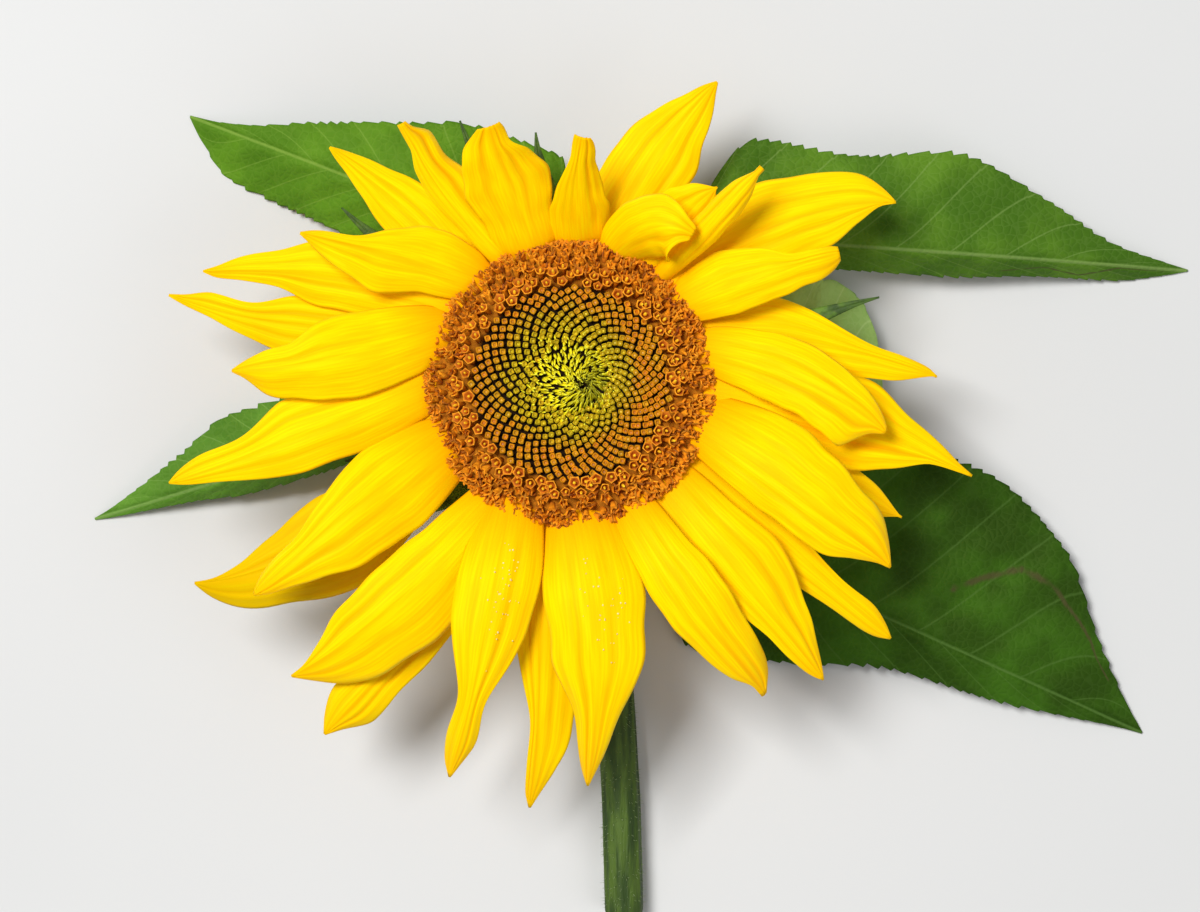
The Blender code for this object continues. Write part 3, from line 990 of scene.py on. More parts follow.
@dataclass
class Bracts:
    """The two whorls of pointed green scales under the petals."""

    width: float = 10.0
    thickness: float = 0.7
    places: tuple[float, ...] = (0.0, 0.2, 0.45, 0.7, 0.88, 1.0)
    shares: tuple[float, ...] = (0.75, 1.0, 0.8, 0.42, 0.16, 0.03)
    along: int = 28
    across: int = 10
    edge_drop: float = 0.2
    groove: float = 0.25          # depth of the middle groove
    seed: int = 71

    def build(self, name: str, bract: Bract, rng: np.random.Generator) -> bpy.types.Object:
        """Model one bract.

        Args:
            name: name of the piece.
            bract: its sizes.
            rng: its random source.

        Returns:
            The piece.
        """
        radius, height = bract.whorl.value
        turn = math.radians(bract.clock)
        root = on_head(radius, turn, height)
        tip = np.array([bract.reach * math.cos(turn), bract.reach * math.sin(turn), bract.tip])
        along = tip - root
        side = sideways(along)
        up = unit(np.cross(along, side))
        piece, u, v = new_grid(name, self.along, self.across)
        half = self.width / 2 * smooth_curve(self.places, self.shares, u)
        sway = 1.2 * ripple(u, rng, ((0.5, 1.0),)) * ramp(u, 0.2, 0.9)
        groove = self.groove * np.exp(-(v / 0.15) ** 2)
        drop = -self.edge_drop * half * v * v - groove + sway * 0.5
        center = root + along * u[:, None] + side * sway[:, None]
        set_points(piece, center + side * (half * v)[:, None] + up * drop[:, None])
        set_attribute(piece, "age", 0.8 * ramp(u, 0.5, 1.0))
        thicken(piece, self.thickness)
        return piece

    def make(self) -> None:
        """Build, dress and fasten every bract."""
        finish = SkinFinish("bract_green", rgba(0.13, 0.26, 0.02), rgba(0.035, 0.075, 0.01),
                            260.0, 0.2).make()
        for number, bract in enumerate(BRACTS, start=1):
            rng = np.random.default_rng(self.seed + number)
            piece = self.build(f"scale_{number:02d}", bract, rng)
            claim(piece, Slot.BRACT, [f"bract_{number:02d}"], finish)


# ---------------------------------------------------------------- stem

@dataclass
class Stem:
    """The cut stem and its neck, ribbed and bristly."""

    lying: tuple[Point, ...] = ((16.5, -165, 6.5), (15.5, -130, 6.5), (13, -90, 6.5),
                                (9, -55, 6.5))
    neck: tuple[Point, ...] = ((5.5, -32, 6.5), (4, -14, 6.5), (0.3, -5.2, 14), (0, -2.9, 29.7))
    radius: float = STEM_RADIUS - 0.35    # before its relief
    flare: float = 1.0            # where the neck meets the cup
    cut_round: float = 0.3
    sides: int = 48
    ribs: int = 11
    rib_height: float = 0.16
    unevenness: float = 0.12
    bristles: int = 1500
    bristle_length: float = 1.6
    bristle_radius: float = 0.09
    seed: int = 5

    def line(self, steps: int = 150) -> np.ndarray:
        """Centre line from the cut to the head, in even steps.

        Args:
            steps: how many points.

        Returns:
            The points, one per row.
        """
        neck = bezier(list(self.neck), np.linspace(0, 1, 30))
        points = np.vstack([np.array(self.lying, float), neck])
        lengths = np.concatenate([[0], np.cumsum(np.linalg.norm(np.diff(points, axis=0), axis=1))])
        even = np.linspace(0, lengths[-1], steps)
        return np.stack([smooth_curve(tuple(lengths), tuple(points[:, i]), even)
                         for i in range(3)], axis=-1)

    def make(self) -> None:
        """Build, dress and fasten the stem and its bristles."""
        rng = np.random.default_rng(self.seed)
        line = self.line()
        share = np.linspace(0, 1, len(line))
        radii = self.radius + self.flare * ramp(share, 0.93, 1.0)
        radii[0] -= self.cut_round
        turn = np.arange(self.sides) / self.sides * 2 * math.pi
        swell = [ripple(share, rng, ((3, 0.5), (7, 0.3))) for _ in range(self.sides)]
        relief = (self.rib_height * np.cos(self.ribs * turn)[None, :]
                  + self.unevenness * np.stack(swell, axis=-1))
        piece = tube("cut_stem", line, radii, self.sides, relief)
        finish = SkinFinish("stem_green", rgba(0.07, 0.125, 0.012), rgba(0.025, 0.055, 0.005),
                            380.0, 0.4, 7.0).make()
        middle = PLACE.world(line[0])
        gaps = [np.linalg.norm(np.array(v.co) - middle) / MM for v in piece.data.vertices]
        set_attribute(piece, "cut", np.array(gaps) < 1.0)
        claim(piece, Slot.STEM, ["stem"], finish)
        self.add_bristles(line, rng)

    def add_bristles(self, line: np.ndarray, rng: np.random.Generator) -> None:
        """Short stiff hairs all over the stem, joined as one piece.

        Args:
            line: the stem's centre line.
            rng: random source.
        """
        ahead = unit(np.gradient(line, axis=0))
        up = unit(np.cross(ACROSS, ahead))
        side = np.cross(ahead, up)
        count = self.bristles
        i = rng.integers(2, len(line) - 8, count)
        turn = rng.uniform(0, 2 * math.pi, count)
        out = side[i] * np.cos(turn)[:, None] + up[i] * np.sin(turn)[:, None]
        foot = line[i] + out * (STEM_RADIUS - 0.45)
        foot = foot + ahead[i] * rng.uniform(-0.5, 0.5, count)[:, None]
        lean = unit(out + rng.normal(0, 0.25, (count, 3)) - ahead[i] * 0.25)
        length = self.bristle_length * rng.uniform(0.5, 1.1, count)
        tips = foot + lean * length[:, None]
        tips[:, 2] = np.maximum(tips[:, 2], SURFACE / 2)
        stamps = Stamps(spike_model())
        across = unit(np.cross(lean, ahead[i]))
        other = np.cross(lean, across)
        for k in range(count):
            axes = np.stack([across[k] * self.bristle_radius, other[k] * self.bristle_radius,
                             tips[k] - foot[k]])
            stamps.add(foot[k], axes, 0.0)
        finish = FloretFinish("bristle", rgba(0.2, 0.3, 0.1), rgba(0.4, 0.5, 0.25),
                              rgba(0.6, 0.65, 0.45), rgba(0.4, 0.5, 0.25))
        claim(stamps.join("stem_bristles"), Slot.STEM, [], finish.make())


# ---------------------------------------------------------------- leaves

@dataclass
class Leaf:
    """One leaf: half widths in plan at set places, and how its halves fall."""

    name: str
    node: str
    grip: float               # place on the stem, 0 at the cut and 1 at the head
    base: Point
    tip: Point
    lift: float
    left: tuple[float, ...]
    right: tuple[float, ...]
    left_fall: float
    right_fall: float
    green: Color
    dark: Color
    vein: Color
    veins: float = 9.0        # side veins along the blade
    trail: tuple[Pair, ...] = ()    # a miner's trail: places along and across


BLADE_PLACES = (0.0, 0.12, 0.3, 0.5, 0.7, 0.85, 0.95, 1.0)

LEAVES = [
    Leaf("upper_left_leaf", "leaf_upper_left", 0.92, (-1, 38, 20), (-120, 85, 0.6), 6,
         (4, 16, 19, 17, 15.5, 14, 6, 0.3), (8, 30, 29.5, 21.5, 12, 4, 1, 0.3), 0.55, 0.08,
         rgba(0.1, 0.235, 0.012), rgba(0.065, 0.17, 0.008), rgba(0.2, 0.33, 0.05)),
    Leaf("upper_right_leaf", "leaf_upper_right", 0.89, (38, 46, 24), (194, 36.5, 0.6), 6,
         (20, 31, 28, 31, 18.5, 6, 2, 0.3), (3, 6, 7, 7, 5, 4.5, 2, 0.3), 0.1, 1.2,
         rgba(0.09, 0.2, 0.014), rgba(0.045, 0.12, 0.008), rgba(0.2, 0.31, 0.08),
         trail=((0.62, -0.7), (0.7, -0.45), (0.78, -0.75), (0.86, -0.15), (0.95, -0.35))),
    Leaf("left_leaf", "leaf_left", 0.84, (-50, -12, 21), (-150, -41.7, 0.6), 3,
         (3, 5, 6.6, 6.4, 3.5, 2, 1, 0.3), (5, 16, 19, 19, 11, 5, 1.5, 0.3), 0.9, 0.15,
         rgba(0.1, 0.24, 0.025), rgba(0.06, 0.16, 0.014), rgba(0.2, 0.34, 0.08)),
    Leaf("lower_right_leaf", "leaf_lower_right", 0.8, (34, -43, 13), (179.6, -109, 0.6), 5,
         (12, 40, 51, 54, 43, 20, 6, 0.3), (14, 34, 26, 14, 10, 5, 1.5, 0.3), 0.06, 0.32,
         rgba(0.036, 0.112, 0.006), rgba(0.017, 0.05, 0.003), rgba(0.075, 0.15, 0.03),
         trail=((0.54, 0.32), (0.65, 0.67), (0.75, 0.74), (0.83, 0.84), (0.89, 0.78))),
    # painted light: this leaf's colours are lightened to make up for the shade that the petals
    # cast on it
    Leaf("small_right_leaf", "leaf_small_right", 0.87, (34, 2, 18), (97, -2, 12), 2,
         (6, 20, 30, 33, 34, 29, 18, 0.3), (6, 13, 17, 18, 15, 9, 4, 0.3), 0.1, 0.15,
         rgba(0.42, 0.62, 0.18), rgba(0.29, 0.47, 0.12), rgba(0.55, 0.68, 0.3), veins=6.0),
]


@dataclass
class Foliage:
    """The leaves, each a serrated, veined blade on its stalk."""

    stem: Stem
    thickness: float = 0.5
    quilting: float = 0.8         # height of the blade between its side veins
    groove: float = 0.7           # depth over the midrib
    wave: float = 0.9             # of the edges
    along: int = 170
    across: int = 56
    tooth_length: float = 4.6
    tooth_depth: float = 1.3
    stalk_radius: float = 1.9
    base_round: float = 0.1       # share of the blade that its rounded base takes
    trail_detail: float = 1.7     # finer mesh where a trail is drawn
    landing: float = 0.8          # how softly a blade comes to rest on the surface
    seed: int = 37

    def stalk(self, leaf: Leaf) -> np.ndarray:
        """Centre line of the stalk, from the stem to the base of the blade.

        Args:
            leaf: the leaf.

        Returns:
            Points, one per row.
        """
        line = self.stem.line()
        i = int(leaf.grip * (len(line) - 1))
        start, along = line[i], unit(line[i + 1] - line[i - 1])
        base = np.array(leaf.base, float)
        out = base - start
        out = unit(out - along * np.dot(out, along))
        tip = np.array(leaf.tip, float)
        blade = unit(tip - base + UP * leaf.lift * 4)
        reach = np.linalg.norm(base - start) / 3
        root = start + out * (STEM_RADIUS - 1.0)
        control = [root, root + out * reach, base - blade * reach, base + blade * 4]
        return bezier(control, np.linspace(0, 1, 24))

    def build(self, leaf: Leaf, rng: np.random.Generator) -> bpy.types.Object:
        """Model one leaf with its stalk.

        Args:
            leaf: its sizes.
            rng: its random source.

        Returns:
            The piece.
        """
        finer = self.trail_detail if leaf.trail else 1.0
        piece, u, v = new_grid(leaf.name, int(self.along * finer), int(self.across * finer))
        base, tip = np.array(leaf.base, float), np.array(leaf.tip, float)
        chord = tip - base
        length = np.linalg.norm(chord)
        side = sideways(chord)
        center = base + chord * u[:, None] + UP * (leaf.lift * 4 * u * (1 - u))[:, None]
        left = smooth_curve(BLADE_PLACES, leaf.left, u)
        right = smooth_curve(BLADE_PLACES, leaf.right, u)
        round_base = np.sqrt(1 - (1 - np.clip(u / self.base_round, 0, 1)) ** 2)
        half = np.where(v > 0, left, right) * round_base
        uneven = 0.6 * ripple(u, rng, ((2.0, 1.0), (5.0, 0.5)))
        teeth = (u * length / self.tooth_length + uneven) % 1.0
        edge = ramp(np.abs(v), 0.8, 1.0) * ramp(u, 0.03, 0.1) * (1 - ramp(u, 0.9, 1.0))
        depth = self.tooth_depth * (0.85 + 0.35 * ripple(u, rng, ((3.0, 0.6), (7.0, 0.6))))
        tooth = (teeth - 0.5) * depth * edge * np.clip(half / 12, 0.2, 1.0)
        wave = self.wave * ripple(u, rng, ((2.2, 1.0), (4.7, 0.5))) * np.abs(v) ** 2
        across = v * half + np.sign(v) * tooth
        fall = np.where(v > 0, leaf.left_fall, leaf.right_fall) * np.abs(v) * half
        phase = leaf.veins * (u - 0.1) - 2.2 * np.abs(v) ** 0.85 * (1 - 0.45 * u)
        phase = phase + np.where(v > 0, 0.35, 0.0)
        quilt = 0.5 * (1 - np.cos(2 * math.pi * phase)) * self.quilting
        quilt = quilt * np.clip(half / 20, 0, 1)
        quilt = quilt * (1 - ramp(np.abs(v), 0.85, 1.0)) * ramp(np.abs(v), 0.0, 0.2)
        rib = np.abs(v) * half
        groove = -self.groove * np.exp(-(rib / 1.1) ** 2)
        drop = -fall + wave * ramp(u, 0.05, 0.3) * np.clip(half / 25, 0.1, 1) + quilt + groove
        points = center + side * across[:, None] + UP * drop[:, None]
        points[:, 2] = SURFACE + soft_floor(points[:, 2] - SURFACE, self.landing)
        set_points(piece, points)
        set_attribute(piece, "rib", rib)
        set_attribute(piece, "phase", phase + 10)
        set_attribute(piece, "trail", self.trail_mask(leaf, u, v))
        thicken(piece, self.thickness)
        join_onto(piece, self.build_stalk(leaf))
        return piece

    def build_stalk(self, leaf: Leaf) -> bpy.types.Object:
        """Model the stalk.

        Args:
            leaf: the leaf.

        Returns:
            The stalk, to be joined to the blade.
        """
        line = self.stalk(leaf)
        share = np.linspace(0, 1, len(line))
        swell, taper = 0.25 * (1 - ramp(share, 0, 0.15)), 0.55 * ramp(share, 0.6, 1)
        radii = self.stalk_radius * (1 + swell - taper)
        stalk = tube("stalk", line, radii, 16)
        for name, value in (("rib", 0.5), ("phase", 0.5), ("trail", 0.0)):
            set_attribute(stalk, name, np.full(len(stalk.data.vertices), value))
        return stalk

    @staticmethod
    def trail_mask(leaf: Leaf, u: np.ndarray, v: np.ndarray) -> np.ndarray:
        """How strongly a miner's trail marks the blade.

        Args:
            leaf: the leaf.
            u: places along the blade.
            v: places across it.

        Returns:
            A mask from 0 to 1.
        """
        mask = np.zeros_like(u)
        for (u0, v0), (u1, v1) in zip(leaf.trail, leaf.trail[1:]):
            span = np.array([u1 - u0, (v1 - v0) * 0.3])
            where = np.stack([u - u0, (v - v0) * 0.3], axis=-1)
            t = np.clip(where @ span / (span @ span), 0, 1)
            wiggle = 0.003 * np.sin(60 * u) + 0.002 * np.sin(41 * v)
            gap = np.linalg.norm(where - t[:, None] * span + wiggle[:, None], axis=1)
            mask = np.maximum(mask, 1 - ramp(gap, 0.0036, 0.008))
        return mask * 0.85

    def make(self) -> None:
        """Build, dress and fasten every leaf."""
        for number, leaf in enumerate(LEAVES):
            rng = np.random.default_rng(self.seed + number)
            piece = self.build(leaf, rng)
            finish = LeafFinish(leaf.name + "_green", leaf.green, leaf.dark, leaf.vein)
            piece.data.materials.clear()
            claim(piece, Slot.LEAF, [leaf.node], finish.make())


def soft_floor(height: np.ndarray, radius: float) -> np.ndarray:
    """Heights kept above zero, with a soft landing of the given radius."""
    return (height + np.sqrt(height * height + radius * radius)) / 2


# ---------------------------------------------------------------- florets

@dataclass
class Model:
    """A small shape to be repeated: its points, faces, face materials and rise."""

    points: np.ndarray
    faces: list[tuple[int, ...]]
    kinds: list[int]
    rise: np.ndarray


@dataclass
class Stamps:
    """Copies of one small shape, joined into one mesh."""

    model: Model
    smooth: bool = True
    tints: list[float] = field(default_factory=list)
    points: list[np.ndarray] = field(default_factory=list)

    def add(self, place: np.ndarray, axes: np.ndarray, tint: float) -> None:
        """Add a copy.

        Args:
            place: its foot, in the flower's frame.
            axes: its three axes, one per row, with their lengths.
            tint: its own shade, 0 to 1.
        """
        self.points.append(self.model.points @ axes + place)
        self.tints.append(tint)

    def join(self, name: str) -> bpy.types.Object:
        """Make the joined object.

        Args:
            name: name of the piece.

        Returns:
            The piece.
        """
        count, size = len(self.points), len(self.model.points)
        faces = [tuple(i + k * size for i in face)
                 for k in range(count) for face in self.model.faces]
        mesh = bpy.data.meshes.new(name)
        mesh.from_pydata(PLACE.world(np.vstack(self.points)).tolist(), [], faces)
        mesh.update()
        mesh.polygons.foreach_set("material_index", self.model.kinds * count)
        mesh.polygons.foreach_set("use_smooth", [self.smooth] * len(faces))
        piece = bpy.data.objects.new(name, mesh)
        bpy.context.scene.collection.objects.link(piece)
        set_attribute(piece, "rise", np.tile(self.model.rise, count))
        set_attribute(piece, "tint", np.repeat(self.tints, size))
        return piece


def capture(piece: bpy.types.Object, kinds: list[int] | None = None) -> Model:
    """Take a modelled shape as a Model, and remove its object.

    Args:
        piece: the shape, modelled round the origin with unit height.
        kinds: material number of each face.

    Returns:
        The model.
    """
    mesh = piece.data
    points = np.array([v.co for v in mesh.vertices])
    faces = [tuple(p.vertices) for p in mesh.polygons]
    rise = np.clip(points[:, 2], 0, 1)
    kinds = kinds or [p.material_index for p in mesh.polygons]
    bpy.data.objects.remove(piece)
    return Model(points, faces, list(kinds), rise)


def turned_shape(rings: list[Pair], sides: int) -> bpy.types.Object:
    """Closed shape grown ring by ring from a disc, by extruding and scaling.

    Args:
        rings: (radius, height) of each ring, the first at the foot.
        sides: corners round the shape.

    Returns:
        The object, with its last ring filled.
    """
    deselect_all()
    (first, level), rest = rings[0], rings[1:]
    bpy.ops.mesh.primitive_circle_add(vertices=sides, radius=first, fill_type="NGON",
                                      location=(0, 0, level))
    piece = bpy.context.object
    bpy.ops.object.transform_apply(location=True)
    radius = first
    with edit_mode():
        for wide, height in rest:
            move = (0, 0, height - level)
            bpy.ops.mesh.extrude_region_move(TRANSFORM_OT_translate={"value": move})
            bpy.ops.transform.resize(value=(wide / radius, wide / radius, 1),
                                     center_override=(0, 0, height))
            radius, level = wide, height
    return piece


def lobe(piece: bpy.types.Object, lobes: int, depth: float, above: float) -> None:
    """Pull alternate corners of a turned shape inward and down, as lobes.

    Args:
        piece: the shape, with two corners to a lobe.
        lobes: how many.
        depth: how deep the notches are, of the radius.
        above: lowest height that is shaped.
    """
    for vertex in piece.data.vertices:
        x, y, z = vertex.co
        if z < above:
            continue
        notch = (1 - math.cos(lobes * math.atan2(x, y))) / 2
        share = 1 - depth * notch
        vertex.co = (x * share, y * share, z - 0.5 * depth * notch)


def spike_model() -> Model:
    """A three-sided spike of unit height.

    Returns:
        The model.
    """
    deselect_all()
    bpy.ops.mesh.primitive_cone_add(vertices=3, radius1=1, radius2=0.0, depth=1,
                                    location=(0, 0, 0.5))
    piece = bpy.context.object
    bpy.ops.object.transform_apply(location=True)
    return capture(piece)


def bud_model() -> Model:
    """A closed bud: a squarish knob with raised corners and a dimple.

    Returns:
        The model.
    """
    piece = turned_shape([(0.6, 0.0), (0.82, 0.5), (1.0, 0.78), (0.72, 1.0), (0.3, 0.72)], 8)
    for vertex in piece.data.vertices:
        x, y, z = vertex.co
        square = 1 - 0.1 * math.cos(4 * math.atan2(y, x)) * ramp(z, 0.3, 0.7)
        vertex.co = (x * square, y * square, z)
    return capture(piece)


def open_model() -> Model:
    """A freshly open floret: a cup with a rolled five-lobed lip and pollen in its throat.

    Returns:
        The model.
    """
    rings = [(0.42, 0.0), (0.48, 0.5), (0.9, 0.8), (1.24, 0.93), (1.04, 1.0), (0.62, 0.6)]
    piece = turned_shape(rings, 10)
    lobe(piece, 5, 0.2, 0.9)
    body, grain, throat = range(3)
    kinds = [throat if face.center.z > 0.55 and face.normal.z > 0.3
             and face.center.xy.length < 0.8 else body for face in piece.data.polygons]
    deselect_all()
    bpy.ops.mesh.primitive_uv_sphere_add(segments=5, ring_count=4, radius=0.34,
                                         location=(0.1, 0, 0.78))
    knob = bpy.context.object
    bpy.ops.object.transform_apply(location=True)
    kinds += [grain] * len(knob.data.polygons)
    join_onto(piece, knob)
    return capture(piece, kinds)


def spent_model() -> Model:
    """A spent floret: a ragged tube with two thick curled stigma arms.

    Returns:
        The model.
    """
    piece = turned_shape([(0.5, 0.0), (0.58, 0.5), (1.0, 0.88), (0.74, 0.92), (0.42, 0.45)], 10)
    lobe(piece, 5, 0.34, 0.8)
    body, stigma = range(2)
    steps, curl = 5, math.pi * 1.2
    kinds = [body] * len(piece.data.polygons)
    for sign in (-1, 1):
        deselect_all()
        bpy.ops.mesh.primitive_circle_add(vertices=4, radius=0.19, fill_type="NGON",
                                          location=(0.14 * sign, 0, 0.55))
        arm = bpy.context.object
        bpy.ops.object.transform_apply(location=True)
        with edit_mode():
            for step in range(steps):
                turn = curl * (step + 0.5) / steps
                move = (0.33 * sign * math.sin(turn), 0.08 * sign, 0.24 * math.cos(turn))
                bpy.ops.mesh.extrude_region_move(TRANSFORM_OT_translate={"value": move})
                bpy.ops.transform.resize(value=(0.9, 0.9, 0.9))
        kinds += [stigma] * len(arm.data.polygons)
        join_onto(piece, arm)
    return capture(piece, kinds)


def tongue_model() -> Model:
    """A young bract of the centre: a slender tapering tongue.

    Returns:
        The model.
    """
    piece = turned_shape([(0.6, 0.0), (1.0, 0.3), (0.9, 0.62), (0.5, 0.88), (0.12, 1.0)], 6)
    for vertex in piece.data.vertices:
        vertex.co.y *= 0.6
    return capture(piece)


# its dark green other colour carries the tongues' painted shade, with some random tint
GREEN = FloretFinish("center_green", rgba(0.2, 0.18, 0.005), rgba(1.0, 0.86, 0.01),
                     rgba(1.0, 0.98, 0.08), rgba(0.1, 0.1, 0.004))
# near-black foot: painted shade between the buds
OCHRE = FloretFinish("bud_ochre", rgba(0.01, 0.003, 0.001), rgba(0.5, 0.16, 0.004),
                     rgba(0.98, 0.42, 0.015), rgba(0.6, 0.47, 0.012), 0.4, 0.25)
ORANGE = FloretFinish("open_floret_orange", rgba(0.6, 0.18, 0.006), rgba(0.8, 0.24, 0.005),
                      rgba(1.0, 0.42, 0.02), rgba(0.8, 0.25, 0.008))
POLLEN = FloretFinish("pollen_yellow", rgba(0.8, 0.32, 0.01), rgba(1.0, 0.48, 0.015),
                      rgba(1.0, 0.62, 0.02), rgba(0.9, 0.4, 0.01))
THROAT = FloretFinish("floret_throat", rgba(0.2, 0.04, 0.004), rgba(0.42, 0.1, 0.006),
                      rgba(0.85, 0.28, 0.01), rgba(0.5, 0.13, 0.006))
RUST = FloretFinish("spent_floret_rust", rgba(0.45, 0.12, 0.005), rgba(0.82, 0.25, 0.006),
                    rgba(0.34, 0.07, 0.007), rgba(1.0, 0.38, 0.014))
MAROON = FloretFinish("stigma_maroon", rgba(0.2, 0.05, 0.01), rgba(0.3, 0.07, 0.01),
                      rgba(0.24, 0.05, 0.012), rgba(0.8, 0.33, 0.015))


@dataclass(frozen=True)
class Spot:
    """Where one floret stands and which way it is turned."""

    radius: float             # on its spiral
    turn: float
    out: float                # on the disc, from the middle
    way: float
    facing: float             # direction of its nearest neighbour on a spiral
    gap: float                # distance to its neighbours


@dataclass
class Disc:
    """The domed disc of florets, laid out in spirals from the centre."""

    edge: float = 43.6
    open_from: float = 29.4
    spent_from: float = 33.2
    spent_to: float = 40.5        # feet of the outermost florets
    green_to: float = 15.5
    lit_side: float = 2.5         # direction of the lit side: the green reaches farther there, and tongues away from it get painted shade
    hole: float = 1.5             # bare eye where the spirals meet
    eye: Pair = (4.2, -0.3)       # where it lies, beside the disc's middle
    settled: float = 36.0         # radius where the spirals are round the disc's middle
    turn: float = math.pi * (3 - math.sqrt(5))
    steps: tuple[int, ...] = (8, 13, 21, 34, 55, 89)    # between neighbours on a spiral
    tongues: tuple[float, ...] = (4.3, 3.6, 2.9)    # lengths of the young bracts of one place
    bud: Pair = (0.44, 2.6)       # half width, of the gap, and height
    fresh: Pair = (1.55, 4.8)     # tube's width and height
    spent: Pair = (1.85, 4.6)
    seed: int = 3

    @staticmethod
    def spacing(radius: float) -> float:
        """Distance between neighbours at a radius."""
        return float(smooth_curve((0, 12, 24, 29, 33, 37, 44),
                                  (1.55, 2.0, 2.3, 2.45, 3.3, 3.2, 2.8), np.array([radius]))[0])

    @staticmethod
    def dome(radius: float) -> float:
        """Height of the floor that the florets stand on."""
        return float(smooth_curve((0, 8, 18, 30, 38, 44), (-2.6, -2.2, -1.0, -0.6, -1.0, -3.4),
                                  np.array([radius]))[0])

    def layout(self) -> list[Spot]:
        """Places of all florets, a golden angle apart on one tight spiral.

        Returns:
            The places, from the centre outward.
        """
        rows, square, number = [], 0.4, 0
        while math.sqrt(square) < self.edge:
            radius, turn = math.sqrt(square), number * self.turn
            shift = 1 - float(ramp(radius, 0.0, self.settled))
            rows.append((radius, turn, radius * math.cos(turn) + self.eye[0] * shift,
                         radius * math.sin(turn) + self.eye[1] * shift))
            square += 0.866 * self.spacing(radius) ** 2 / math.pi    # hexagonal packing
            number += 1
        spots = []
        for number, (radius, turn, x, y) in enumerate(rows):
            near = [rows[number + step] for step in self.steps if number + step < len(rows)]
            ahead = min(near, key=lambda row: math.hypot(row[2] - x, row[3] - y),
                        default=(0, 0, 2 * x, 2 * y))
            spots.append(Spot(radius, turn, math.hypot(x, y), math.atan2(y, x),
                              math.atan2(ahead[3] - y, ahead[2] - x), self.spacing(radius)))
        return spots

    @staticmethod
    def axes(turn: float, lean: float, swirl: float, width: float, height: float,
             spin: float) -> np.ndarray:
        """Axes of a floret on the leaning head.

        Args:
            turn: direction of the floret round the disc.
            lean: its lean outward.
            swirl: its lean sideways.
            width: its width.
            height: its height.
            spin: its turn about its own stalk.

        Returns:
            Three axes, one per row, with their lengths.
        """
        radial = np.array([math.cos(turn), math.sin(turn), 0.0])
        around = np.array([-math.sin(turn), math.cos(turn), 0.0])
        up = unit(UP + radial * math.tan(lean) + around * math.tan(swirl))
        first = unit(np.cross(around, up))
        second = np.cross(up, first)
        cos, sin = math.cos(spin), math.sin(spin)
        rows = np.stack([(first * cos + second * sin) * width,
                         (second * cos - first * sin) * width, up * height])
        tilt = np.array([[1, 0, 0], [0, LEAN_COS, -LEAN_SIN], [0, LEAN_SIN, LEAN_COS]])
        return rows @ tilt

    def foot(self, spot: Spot, lower: float = 0.0) -> np.ndarray:
        """A floret's foot on the domed floor, in the flower's frame."""
        return on_head(spot.out, spot.way, self.dome(spot.out) + lower)

    def add_tongues(self, spot: Spot, limit: float, lit: float, stamps: Stamps,
                    rng: np.random.Generator) -> None:
        """Add the slender young bracts of one place in the green centre.

        Args:
            spot: the place.
            limit: how far the green reaches in its direction.
            lit: how bright its side is, 0 to 1.
            stamps: where they are added.
            rng: random source.
        """
        fade = float(ramp(spot.radius, limit - 5, limit))
        # painted shade: the tongues' tint darkens in the sunken eye and on the side away from the
        # light
        dark = 0.8 * (spot.radius < 3.0) + 0.65 * (1 - lit) * (spot.radius < 9)
        for length in self.tongues:
            if rng.random() < 0.6 * fade:
                continue
            lean = -min(1.0 - 0.6 * spot.radius / limit, 0.17 * spot.radius)
            lean += rng.normal(0, 0.13)
            axes = self.axes(spot.turn, lean, 0.3 + rng.normal(0, 0.2), spot.gap * 0.29,
                             length * rng.uniform(0.75, 1.1) * (1 - 0.3 * fade),
                             rng.normal(0, 0.3))
            place = self.foot(spot, rng.normal(0, 0.1))
            place[:2] += rng.normal(0, 0.22 * spot.gap, 2)
            stamps.add(place, axes, np.clip(dark + rng.normal(0.05, 0.15), 0, 1))

    def add_bud(self, spot: Spot, limit: float, stamps: Stamps,
                rng: np.random.Generator) -> None:
        """Add a closed bud, greener and leaning inward beside the centre.

        Args:
            spot: its place.
            limit: how far the green reaches in its direction.
            stamps: where it is added.
            rng: random source.
        """
        young = 1 - ramp(spot.radius, limit, limit + 8.5)
        axes = self.axes(spot.way, -0.3 * young + rng.normal(0, 0.09), rng.normal(0, 0.06),
                         spot.gap * self.bud[0] * rng.uniform(0.94, 1.05),
                         self.bud[1] * rng.uniform(0.94, 1.06),
                         spot.facing - spot.way + rng.normal(0, 0.1))
        stamps.add(self.foot(spot), axes,
                   np.clip(1.1 * young + 0.12 + rng.normal(0, 0.16), 0, 1))

    def add_open(self, spot: Spot, lean: float, sway: Pair, size: Pair,
                 spread: tuple[float, ...], stamps: Stamps, rng: np.random.Generator) -> None:
        """Add a fresh or spent floret.

        Args:
            spot: its place.
            lean: how far it leans outward.
            sway: how much its lean varies, outward and sideways.
            size: its width and height.
            spread: least and greatest share of its width, then of its height.
            stamps: where it is added.
            rng: random source.
        """
        axes = self.axes(spot.way, lean + rng.normal(0, sway[0]), rng.normal(0, sway[1]),
                         size[0] * rng.uniform(*spread[:2]), size[1] * rng.uniform(*spread[2:]),
                         rng.uniform(0, 6.3))
        inside = min(spot.out, self.spent_to)
        stamps.add(on_head(inside, spot.way, self.dome(spot.out)), axes, rng.random())

